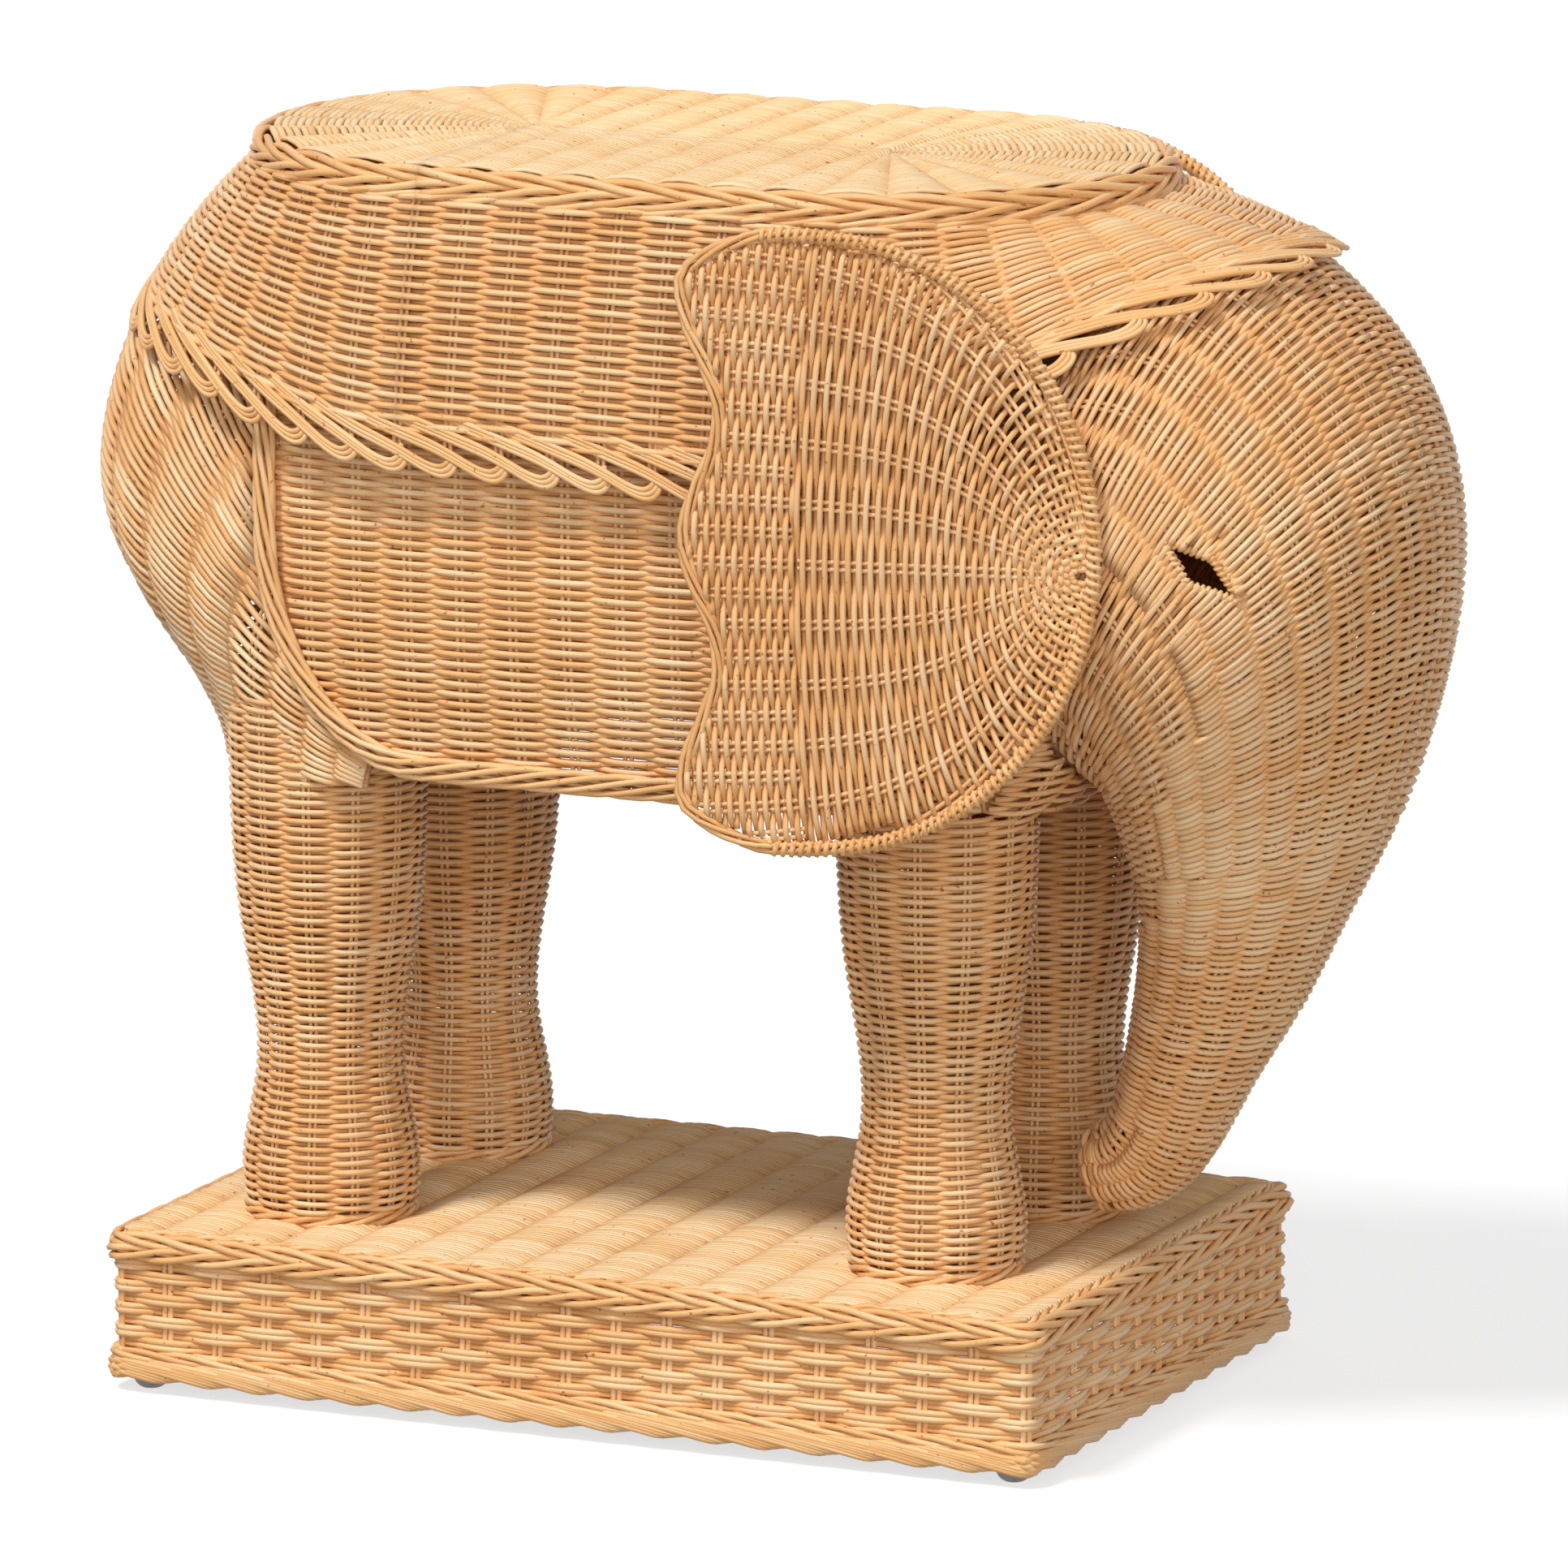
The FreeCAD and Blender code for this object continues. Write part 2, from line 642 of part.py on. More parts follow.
def half_ring(ring, grow, rib, sign):
    middle, reach, wide = ring_frame(ring)
    ahead = Vector(reach).normalize()
    points = []
    for step in range(HEAD_STAKES + 1):
        angle = math.pi * step / HEAD_STAKES
        # ribs over the stakes shrink with the ring and fade on the middle line, which keeps the profile
        swell = rib * math.sin(angle) * wide / HEAD_HALF_WIDTH * (1 if step % 2 else -1)
        along = ahead * (reach.Length + grow + swell)
        across = Y_AXIS * sign * (wide + grow + swell)
        points.append(middle + along * math.cos(angle) + across * math.sin(angle))
    return open_spline(points)


def head_form(grow, head_rings, rib=0.0):
    faces = []
    for sign in SIDES.values():
        wires = [Part.Wire(half_ring(ring, grow, rib, sign)) for ring in head_rings]
        faces += Part.makeLoft(wires, False).Faces
    for ring in (head_rings[0], head_rings[-1]):
        faces.append(Part.Face(Part.Wire([half_ring(ring, grow, rib, sign) for sign in SIDES.values()])))
    shell = Part.makeShell(faces)
    shell.sewShape(0.01)
    solid = Part.makeSolid(shell)
    if solid.Volume < 0:
        solid.reverse()
    return solid


def closed_tip(ring):
    middle, reach, wide = ring_frame(ring)
    step = Vector(reach).normalize().cross(Y_AXIS) * WEAVE_WALL
    return middle + reach + step, middle - reach + step, wide


def eye_slit(sign):
    half_long = EYE_LENGTH / 2
    half_open = EYE_OPENING / 2
    rear = Vector(-half_long, 0, 0)
    corners = [rear, Vector(0, 0, half_open), -rear, Vector(0, 0, -half_open), rear]
    outline = Part.makePolygon(corners)
    slit = Part.Face(outline).extrude(Y_AXIS * sign * 2 * HEAD_HALF_WIDTH)
    slit.rotate(Vector(0, 0, 0), Y_AXIS, EYE_SLOPE)
    slit.translate(Vector(EYE_X, 0, TABLE_HEIGHT - EYE_DEPTH))
    return slit


head_inner = head_form(-WEAVE_WALL, rings[:-1] + [closed_tip(rings[-1])])
head_room = head_form(FIT_GAP + HEAD_STAKE_HEIGHT / 2, rings)
head = head_form(0.0, rings, HEAD_STAKE_HEIGHT / 2).cut(head_inner)
for sign in SIDES.values():
    head = head.cut(eye_slit(sign))
pieces["head_and_trunk"] = largest(fit(head, skirt_room, hem_room))

# Neck hoop inside the head, carried by a bar from each front leg pole

neck_middle, neck_reach, neck_wide = ring_frame(rings[1])
neck_along = Vector(neck_reach).normalize()
neck_inset = WEAVE_WALL + NECK_HOOP_EASE + NECK_HOOP_DIAMETER / 2
neck_long = neck_reach.Length - neck_inset
neck_across = neck_wide - neck_inset


def neck_point(angle):
    return neck_middle + neck_along * neck_long * math.cos(angle) + Y_AXIS * neck_across * math.sin(angle)


def neck_ring(grow):
    path = closed_spline([neck_point(2 * math.pi * step / 24) for step in range(24)])
    section = Part.Wire(Part.makeCircle(NECK_HOOP_DIAMETER / 2 + grow, neck_point(0.0), Y_AXIS))
    return path.makePipeShell([section], True, True)


pieces["neck_hoop"] = neck_ring(0.0)
neck_room = neck_ring(FIT_GAP)
neck_bars = []
for sign in SIDES.values():
    front_end = neck_point(sign * math.radians(NECK_BAR_ANGLE))
    rear_end = Vector(FRONT_LEG_X, sign * FRONT_LEG_Y, front_end.z)
    pole_room = rod(rear_end - Z_AXIS * LEG_POLE_DIAMETER, rear_end + Z_AXIS * LEG_POLE_DIAMETER,
                    LEG_POLE_DIAMETER, FIT_GAP)
    bar = rod(rear_end, front_end, NECK_BAR_DIAMETER)
    neck_bars.append(largest(fit(bar, pole_room, neck_room)))

# Body below the saddle: the hollow form is parted into rump, flanks and chest

body_shell = fit(body_form(0.0), body_form(-WEAVE_WALL), head_room, skirt_room, hem_room)
border_shell = fit(body_form(FLANK_BORDER_THICKNESS + FIT_GAP), body_form(FIT_GAP), head_room, hem_room)
body_room = body_form(FIT_GAP).cut(body_form(-WEAVE_WALL - FIT_GAP))
far_out = 2 * PLINTH_LENGTH
behind_chest = block(-far_out, FLANK_FRONT, -far_out, far_out, 0, far_out)
seam_x = FLANK_REAR + FLANK_CORNER_X
behind_seam = block(-far_out, seam_x, -far_out, far_out, 0, far_out)

rump = body_shell.common(behind_seam)
for side, sign in SIDES.items():
    region = flank_region(0.0, sign)
    flank = body_shell.common(flank_region(FIT_GAP, sign))
    pieces["flank_panel_" + side] = largest(flank)
    strip = region.cut(flank_region(FLANK_BORDER_WIDTH, sign))
    pieces["flank_border_" + side] = largest(border_shell.common(strip))
    rump = rump.cut(region)
pieces["rump_panel"] = largest(rump)
pieces["chest_panel"] = largest(body_shell.cut(behind_chest))

# Bent ribs from the table hoop down the flanks and across the open belly

rib_y = BELLY_HALF_WIDTH - WEAVE_WALL - FIT_GAP - RIB_DIAMETER
rib_z = belly_z + RIB_DIAMETER
body_ribs = {}
for end, sign in {"front": 1, "rear": -1}.items():
    x = (FRONT_LEG_X + HIND_LEG_X) / 2 + sign * RIB_SPACING / 2
    turn = RIB_CORNER * (1 - math.sqrt(0.5))
    path = Part.Wire([
        Part.makeLine(Vector(x, -rib_y, hoop_z), Vector(x, -rib_y, rib_z + RIB_CORNER)),
        Part.Arc(
            Vector(x, -rib_y, rib_z + RIB_CORNER),
            Vector(x, turn - rib_y, rib_z + turn),
            Vector(x, RIB_CORNER - rib_y, rib_z),
        ).toShape(),
        Part.makeLine(Vector(x, RIB_CORNER - rib_y, rib_z), Vector(x, rib_y - RIB_CORNER, rib_z)),
        Part.Arc(
            Vector(x, rib_y - RIB_CORNER, rib_z),
            Vector(x, rib_y - turn, rib_z + turn),
            Vector(x, rib_y, rib_z + RIB_CORNER),
        ).toShape(),
        Part.makeLine(Vector(x, rib_y, rib_z + RIB_CORNER), Vector(x, rib_y, hoop_z)),
    ])
    section = Part.Wire(Part.makeCircle(RIB_DIAMETER / 2, Vector(x, -rib_y, hoop_z), Z_AXIS))
    body_ribs[end] = largest(fit(path.makePipeShell([section], True, True), hoop_room))

# Ears: scalloped plates in a wrapped rim, splayed from the sides of the head

ear_place = Vector(EAR_X, -(HEAD_HALF_WIDTH + FIT_GAP + EAR_RIM_DIAMETER / 2), TABLE_HEIGHT - EAR_DEPTH)


def ear_outline():
    high = EAR_HEIGHT / 2
    middle = X_AXIS * -EAR_FRONT_REACH
    front = []
    for step in range(13):
        angle = math.pi * (0.5 - step / 12)
        front.append(middle + X_AXIS * EAR_FRONT_REACH * math.cos(angle) + Z_AXIS * high * math.sin(angle))
    corner = middle - X_AXIS * EAR_CORNER_REACH
    corner_rise = Z_AXIS * (high - EAR_CORNER_DROP)
    rear = [corner - corner_rise]
    for step in range(13):
        z = (high - EAR_SCALLOP) * (step / 6 - 1)
        notch = EAR_SCALLOP * math.sin(math.pi * z / EAR_LOBE_PITCH) ** 2
        rear.append(middle - X_AXIS * (EAR_REAR_REACH - notch) + Z_AXIS * z)
    rear.append(corner + corner_rise)
    return closed_spline(front + rear)


def inset_outline(edge, inset, count=60):
    points = []
    for step in range(count):
        at = edge.FirstParameter + (edge.LastParameter - edge.FirstParameter) * step / count
        points.append(edge.valueAt(at) + edge.tangentAt(at).cross(Y_AXIS) * -inset)
    return closed_spline(points)


def place_ear(shape):
    shape.rotate(Vector(0, 0, 0), Z_AXIS, EAR_SPLAY)
    shape.translate(ear_place)
    return shape


rim_path = ear_outline()
rim_edge = rim_path.Edges[0]
rim_start = rim_edge.valueAt(rim_edge.FirstParameter)
rim_ahead = rim_edge.tangentAt(rim_edge.FirstParameter)
rim_section = Part.Wire(Part.makeCircle(EAR_RIM_DIAMETER / 2, rim_start, rim_ahead))
ear_rim = place_ear(rim_path.makePipeShell([rim_section], True, False)).cut(head_room)
ear_face = Part.Face(inset_outline(rim_edge, EAR_RIM_DIAMETER / 2 + FIT_GAP))
ear_face.translate(Y_AXIS * -EAR_THICKNESS / 2)
ear = place_ear(ear_face.extrude(Y_AXIS * EAR_THICKNESS)).cut(head_room)
pieces["ear_right"] = ear
pieces["ear_rim_right"] = ear_rim
pieces["ear_left"] = mirrored(ear)
pieces["ear_rim_left"] = mirrored(ear_rim)

# Nails and screws take their holes out of the poles they hold

for name in corners:
    holes = [nail for nail in frame_nails + glide_nails if nail.BoundBox.intersect(posts[name].BoundBox)]
    pieces["plinth_post_" + name] = fit(posts[name], *holes)
for name, rail in list(long_rails.items()) + list(short_rails.items()):
    holes = [nail for nail in frame_nails if nail.BoundBox.intersect(rail.BoundBox)]
    pieces["plinth_" + name] = fit(rail, *holes)
for name, bar in plinth_bars.items():
    holes = [screw for screw in pole_screws if screw.BoundBox.intersect(bar.BoundBox)]
    pieces["plinth_bar_" + name] = fit(bar, *holes)
for name, bar in table_bars.items():
    holes = [nail for nail in table_nails if nail.BoundBox.intersect(bar.BoundBox)]
    pieces["table_bar_" + name] = fit(bar, *holes)
for name, pole in leg_poles.items():
    holes = [screw for screw in pole_screws if screw.BoundBox.intersect(pole.BoundBox)]
    pieces["leg_pole_" + name] = fit(pole, *holes)
pieces["table_hoop"] = fit(table_hoop, *table_nails)
for name, rib in body_ribs.items():
    pieces["body_rib_" + name] = rib
for name, weave in leg_weaves.items():
    pieces["leg_weave_" + name] = largest(fit(weave, body_room, head_room))
pieces["foot_hoops"] = Part.makeCompound(foot_hoops)
pieces["neck_bars"] = Part.makeCompound(neck_bars)
pieces["foot_glides"] = Part.makeCompound(glides)
pieces["glide_nails"] = Part.makeCompound(glide_nails)
pieces["plinth_nails"] = Part.makeCompound(frame_nails)
pieces["table_nails"] = Part.makeCompound(table_nails)
pieces["pole_screws"] = Part.makeCompound(pole_screws)

# The part's origin is on the floor below the middle of its overall length

overall = Part.makeCompound(list(pieces.values())).optimalBoundingBox(False)
origin_shift = Vector(-(overall.XMin + overall.XMax) / 2, 0, 0)
print("overall", overall, "shift", origin_shift.x, "pieces", len(pieces))
for name, shape in pieces.items():
    if not shape.isValid() or shape.Volume <= 0:
        print("check", name, shape.isValid(), shape.Volume)
    shape.translate(origin_shift)
    shape.exportStep("parts/" + name + ".step")
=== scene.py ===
import bpy
import math
import numpy as np
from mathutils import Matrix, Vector
from mathutils.bvhtree import BVHTree


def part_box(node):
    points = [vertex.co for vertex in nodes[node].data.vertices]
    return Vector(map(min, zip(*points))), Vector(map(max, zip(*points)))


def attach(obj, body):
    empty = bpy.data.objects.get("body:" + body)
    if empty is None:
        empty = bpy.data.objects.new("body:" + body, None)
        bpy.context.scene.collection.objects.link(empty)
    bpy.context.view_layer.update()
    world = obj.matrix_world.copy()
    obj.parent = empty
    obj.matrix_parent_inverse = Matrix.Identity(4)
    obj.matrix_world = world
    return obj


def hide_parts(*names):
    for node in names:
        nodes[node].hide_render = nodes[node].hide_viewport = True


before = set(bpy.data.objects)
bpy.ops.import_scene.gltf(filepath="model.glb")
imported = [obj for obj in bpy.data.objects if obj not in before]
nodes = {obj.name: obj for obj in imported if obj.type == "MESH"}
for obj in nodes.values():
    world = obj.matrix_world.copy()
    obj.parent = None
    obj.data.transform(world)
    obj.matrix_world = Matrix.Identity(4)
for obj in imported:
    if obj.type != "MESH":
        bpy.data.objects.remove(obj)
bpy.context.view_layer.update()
rng = np.random.default_rng(11)
mm = 0.001
print("frame loaded:", len(nodes), "CAD pieces")


# Finishes

def plug(tree, node, inputs):
    for key, value in inputs.items():
        if isinstance(value, bpy.types.NodeSocket):
            tree.links.new(value, node.inputs[key])
        else:
            node.inputs[key].default_value = value
    return node


def addNode(tree, kind, inputs, **settings):
    node = tree.nodes.new("ShaderNode" + kind)
    for key, value in settings.items():
        setattr(node, key, value)
    return plug(tree, node, inputs)


def addRamp(tree, amount, first, last, *between):
    ramp = addNode(tree, "ValToRGB", {"Fac": amount})
    stops = ramp.color_ramp.elements
    stops[0].position, stops[0].color = first
    stops[1].position, stops[1].color = last
    for position, colour in between:
        stops.new(position).color = colour
    return ramp.outputs["Color"]


def addNoise(tree, vector, scale, detail):
    return addNode(tree, "TexNoise", {"Vector": vector, "Scale": scale, "Detail": detail}).outputs["Fac"]


def addMath(tree, operation, *values):
    return addNode(tree, "Math", dict(enumerate(values)), operation=operation).outputs["Value"]


def roughen(tree, shader, grain, look):
    gloss = addNode(tree, "MapRange", {"Value": grain, "To Min": look["rough"] - look["smoother"],
                                       "To Max": look["rough"] + look["rougher"]})
    bump = addNode(tree, "Bump", {"Height": grain, "Strength": look["bump"], "Distance": look["bumpDepth"]})
    plug(tree, shader, {"Roughness": gloss.outputs["Result"], "Normal": bump.outputs["Normal"]})


def newFinish(name):
    material = bpy.data.materials.new(name)
    material.use_nodes = True
    tree = material.node_tree
    return material, tree, tree.nodes["Principled BSDF"]


# what all the rattan shares: noises by scale and detail, and where the colours lie along the tones
coreLook = {"stretch": (0.35, 5.0, 1.0), "grain": (3.0, 4.0), "drift": (14.0, 2.0), "driftShare": 0.5,
            "evenOut": 0.5, "deepAt": 0.22, "middleAt": 0.47, "paleAt": 0.72, "scars": (420.0, 1.0),
            "scarAt": 0.22, "clearAt": 0.29, "scarTint": (0.45, 0.33, 0.25, 1), "smoother": 0.08,
            "rougher": 0.12, "bump": 0.25, "bumpDepth": 0.4 * mm}


def rattanFinish(name, look):
    look = {**coreLook, **look}
    material, tree, shader = newFinish(name)
    tone = addNode(tree, "Attribute", {}, attribute_name="tone").outputs["Fac"]
    where = addNode(tree, "TexCoord", {}).outputs
    # grain runs along each strand, in strand coordinates
    stretch = addNode(tree, "Mapping", {"Vector": where["UV"], "Scale": look["stretch"]})
    grain = addNoise(tree, stretch.outputs["Vector"], *look["grain"])
    # slow drift of colour over the whole piece
    drift = addNoise(tree, where["Object"], *look["drift"])
    streaks = addMath(tree, "MULTIPLY_ADD", grain, look["streak"], tone)
    total = addMath(tree, "MULTIPLY_ADD", drift, look["driftShare"], streaks)
    amount = addMath(tree, "MULTIPLY", total, look["evenOut"])
    colour = addRamp(tree, amount, (look["deepAt"], look["deep"]), (look["paleAt"], look["pale"]),
                     (look["middleAt"], look["middle"]))
    # a few dark leaf scars on the core
    scars = addNoise(tree, where["Object"], *look["scars"])
    scars = addRamp(tree, scars, (look["scarAt"], look["scarTint"]), (look["clearAt"], (1, 1, 1, 1)))
    mix = addNode(tree, "Mix", {"Factor": 1.0, "A": colour, "B": scars}, data_type="RGBA",
                  blend_type="MULTIPLY")
    roughen(tree, shader, grain, look)
    plug(tree, shader, {"Base Color": mix.outputs["Result"], "Specular IOR Level": look["sheen"]})
    return material


plainLook = {"detail": 5.0, "darkAt": 0.3, "lightAt": 0.7, "smoother": 0.1, "rougher": 0.1, "bump": 0.2,
             "bumpDepth": 0.5 * mm}


def plainFinish(name, look):
    look = {**plainLook, **look}
    material, tree, shader = newFinish(name)
    where = addNode(tree, "TexCoord", {}).outputs["Object"]
    stretch = addNode(tree, "Mapping", {"Vector": where, "Scale": (1, 1, look["stretch"])})
    grain = addNoise(tree, stretch.outputs["Vector"], look["scale"], look["detail"])
    colour = addRamp(tree, grain, (look["darkAt"], look["dark"]), (look["lightAt"], look["light"]))
    roughen(tree, shader, grain, look)
    plug(tree, shader, {"Base Color": colour, "Metallic": look["metal"]})
    return material


# strands' finishes by slot, then those of the pieces that keep their CAD shapes
finishes = {
    "rattan_weave": rattanFinish("rattan weave", {
        "deep": (0.55, 0.24, 0.075, 1), "middle": (0.80, 0.44, 0.175, 1), "pale": (0.94, 0.70, 0.42, 1),
        "rough": 0.40, "streak": 0.42, "sheen": 0.28}),
    "rattan_top": rattanFinish("rattan top", {
        "deep": (0.62, 0.31, 0.115, 1), "middle": (0.85, 0.55, 0.27, 1), "pale": (0.92, 0.70, 0.44, 1),
        "rough": 0.55, "streak": 0.55, "sheen": 0.08}),
    "rattan_border": rattanFinish("rattan border", {
        "deep": (0.56, 0.25, 0.08, 1), "middle": (0.82, 0.46, 0.185, 1), "pale": (0.94, 0.69, 0.40, 1),
        "rough": 0.40, "streak": 0.5, "sheen": 0.28})}
poleFinish = plainFinish("rattan pole", {
    "dark": (0.36, 0.19, 0.08, 1), "light": (0.56, 0.33, 0.15, 1),
    "rough": 0.5, "metal": 0.0, "scale": 60.0, "stretch": 0.15})
steelFinish = plainFinish("wire steel", {
    "dark": (0.36, 0.36, 0.37, 1), "light": (0.56, 0.56, 0.57, 1),
    "rough": 0.35, "metal": 1.0, "scale": 300.0, "stretch": 1.0})
glideFinish = plainFinish("grey glide", {
    "dark": (0.33, 0.33, 0.345, 1), "light": (0.46, 0.46, 0.475, 1),
    "rough": 0.38, "metal": 0.0, "scale": 180.0, "stretch": 1.0})
print("finishes made")


# Strands: each is a path with its outward side, thickness and tone

upward, leftward, rearward = (0.0, 0.0, 1.0), (0.0, 1.0, 0.0), (-1.0, 0.0, 0.0)
fullTurn = 6.28  # radians, near enough for a random start
grainLength, grainShift = 0.02, 7  # of the strand map, along the strand
borderLook = {"tone": 0.35, "toneVary": 0.3, "thickVary": 0.1, "wobble": 0.06, "pointsPerLay": 12}


def unit(a):
    return a / np.maximum(np.linalg.norm(a, axis=-1, keepdims=True), 1e-12)


def allFacing(way, points):
    return np.broadcast_to(way, points.shape)


def allWoven(points):
    return np.ones(points.shape[:2], bool)


def throughPoints(points, count, closed=False):
    p = np.asarray(points, float)
    n = len(p)
    if closed:
        t = np.linspace(0, n, count, endpoint=False)
        i = np.floor(t).astype(int)
        a, b, c, d = p[(i - 1) % n], p[i % n], p[(i + 1) % n], p[(i + 2) % n]
    else:
        t = np.linspace(0, n - 1, count)
        i = np.minimum(np.floor(t).astype(int), n - 2)
        a, b, c, d = p[np.maximum(i - 1, 0)], p[i], p[i + 1], p[np.minimum(i + 2, n - 1)]
    f = (t - i)[:, None]
    return 0.5 * (2 * b + (c - a) * f + (2 * a - 5 * b + 4 * c - d) * f ** 2
                  + (3 * b - 3 * c + d - a) * f ** 3)


def evenPath(points, step, closed=False):
    p = np.asarray(points, float)
    if closed:
        p = np.vstack([p, p[:1]])
    run = np.concatenate([[0], np.cumsum(np.linalg.norm(np.diff(p, axis=0), axis=1))])
    count = max(4, int(round(run[-1] / step)) + 1)
    at = np.linspace(0, run[-1], count)
    return np.stack([np.interp(at, run, p[:, k]) for k in range(3)], 1), at


def addStrand(bundle, points, normals, radius, tone=None, flat=1.0):
    if len(points) < 3:
        return
    if tone is None:
        tone = borderLook["tone"] + borderLook["toneVary"] * rng.random()
    n = len(points)
    bundle.append((np.asarray(points), np.asarray(normals), np.broadcast_to(radius, n),
                   np.broadcast_to(tone, n), flat))


def mirrored(bundle):
    flip = np.array([1.0, -1.0, 1.0])
    return [(p * flip, n * flip, r, t, f) for p, n, r, t, f in bundle]


def strandMesh(name, bundle, sides):
    counts = np.array([len(s[0]) for s in bundle])
    points = np.concatenate([s[0] for s in bundle])
    normals = np.concatenate([s[1] for s in bundle])
    radius = np.concatenate([s[2] for s in bundle])
    tone = np.concatenate([s[3] for s in bundle])
    flat = np.repeat([s[4] for s in bundle], counts)
    total = len(points)
    first = np.concatenate([[0], np.cumsum(counts)[:-1]])
    last = first + counts - 1
    ahead = np.roll(points, -1, 0)
    behind = np.roll(points, 1, 0)
    ahead[last] = points[last]
    behind[first] = points[first]
    tangent = unit(ahead - behind)
    side = unit(np.cross(tangent, normals))
    out = np.cross(side, tangent)
    turn = 2 * np.pi * (np.arange(sides) + 0.5) / sides
    ring = radius[:, None, None] * (np.cos(turn)[None, :, None] * side[:, None]
                                    + (flat[:, None] * np.sin(turn)[None])[..., None] * out[:, None])
    verts = (points[:, None] + ring).reshape(-1, 3)
    seg = np.setdiff1d(np.arange(total), last)
    k = np.arange(sides)
    k1 = (k + 1) % sides
    quads = np.stack([seg[:, None] * sides + k, (seg[:, None] + 1) * sides + k,
                      (seg[:, None] + 1) * sides + k1, seg[:, None] * sides + k1], -1).reshape(-1, 4)
    capA = first[:, None] * sides + k
    capB = last[:, None] * sides + k[::-1]
    loops = np.concatenate([quads.ravel(), capA.ravel(), capB.ravel()])
    nq, ns = len(quads), len(counts)
    starts = np.concatenate([np.arange(nq) * 4, nq * 4 + np.arange(2 * ns) * sides])
    step = np.linalg.norm(points - behind, axis=1)
    step[first] = 0
    along = np.cumsum(step)
    along = along - np.repeat(along[first], counts) + np.repeat(rng.random(ns), counts) * grainShift
    u = along / grainLength
    uvQ = np.stack([np.stack([u[seg][:, None] + 0 * k, u[seg + 1][:, None] + 0 * k,
                              u[seg + 1][:, None] + 0 * k, u[seg][:, None] + 0 * k], -1),
                    np.broadcast_to(np.stack([k, k, k + 1, k + 1], -1) / sides, (len(seg), sides, 4))], -1)
    uvC = np.stack([np.repeat(np.concatenate([u[first], u[last]]), sides),
                    np.tile(k / sides, 2 * ns)], -1)
    uv = np.concatenate([uvQ.reshape(-1, 2), uvC])
    mesh = bpy.data.meshes.new(name)
    mesh.vertices.add(len(verts))
    mesh.vertices.foreach_set("co", verts.astype(np.float32).ravel())
    mesh.loops.add(len(loops))
    mesh.loops.foreach_set("vertex_index", loops.astype(np.int32))
    mesh.polygons.add(len(starts))
    mesh.polygons.foreach_set("loop_start", starts.astype(np.int32))
    mesh.update(calc_edges=True)
    mesh.shade_smooth()
    layer = mesh.uv_layers.new(name="strandMap")
    layer.data.foreach_set("uv", uv.astype(np.float32).ravel())
    shade = mesh.attributes.new("tone", "FLOAT", "POINT")
    shade.data.foreach_set("value", np.repeat(tone, sides).astype(np.float32))
    return mesh


def addPiece(name, bundle, sides, slotName, *stoodFor):
    mesh = strandMesh(name, bundle, sides)
    mesh.materials.append(finishes[slotName])
    piece = bpy.data.objects.new(name, mesh)
    bpy.context.scene.collection.objects.link(piece)
    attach(piece, "root")
    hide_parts(*stoodFor)
    triangles = sum(2 * sides * (len(s[0]) - 1) + 2 * (sides - 2) for s in bundle)
    print(name, len(bundle), "strands,", triangles, "triangles")


def addPair(name, bundle, sides, slotName, stoodFor):
    addPiece(name + "Right", bundle, sides, slotName, stoodFor + "_right")
    addPiece(name + "Left", mirrored(bundle), sides, slotName, stoodFor + "_left")


# Weaving over a grid of surface points, rows by columns

# what a weave does where its piece says nothing else
# paintedCrestLight sets how much painted light and shade the strands get over and under the stakes
plainWeave = {"reach": 0.0, "ease": 1.0, "flat": 1.0, "opening": None, "base": 0.5, "vary": 0.22,
              "paintedCrestLight": 0.17, "wander": 0.15 * mm, "wanderPace": 1.3, "fade": 0.08, "fadePace": 0.37,
              "thickVary": 0.12, "square": 0.6, "crowded": 0.62, "stakeTone": 0.5, "stakeVary": 0.25,
              "stakeFlat": 0.8}


def stakePhases(stakes, closed):
    # four points from each stake to the next
    phase = (np.arange(stakes)[:, None] + np.array([0.0, 0.3, 0.5, 0.7])).ravel()
    return phase if closed else np.append(phase, stakes)


def runsOf(mask, closed):
    n = len(mask)
    if mask.all():
        return [np.append(np.arange(n), 0)] if closed else [np.arange(n)]
    order = np.arange(n)
    if closed:
        order = np.roll(order, -int(np.argmin(mask)))
    runs, now = [], []
    for i in order:
        if mask[i]:
            now.append(i)
        elif now:
            runs.append(np.array(now))
            now = []
    if now:
        runs.append(np.array(now))
    return runs


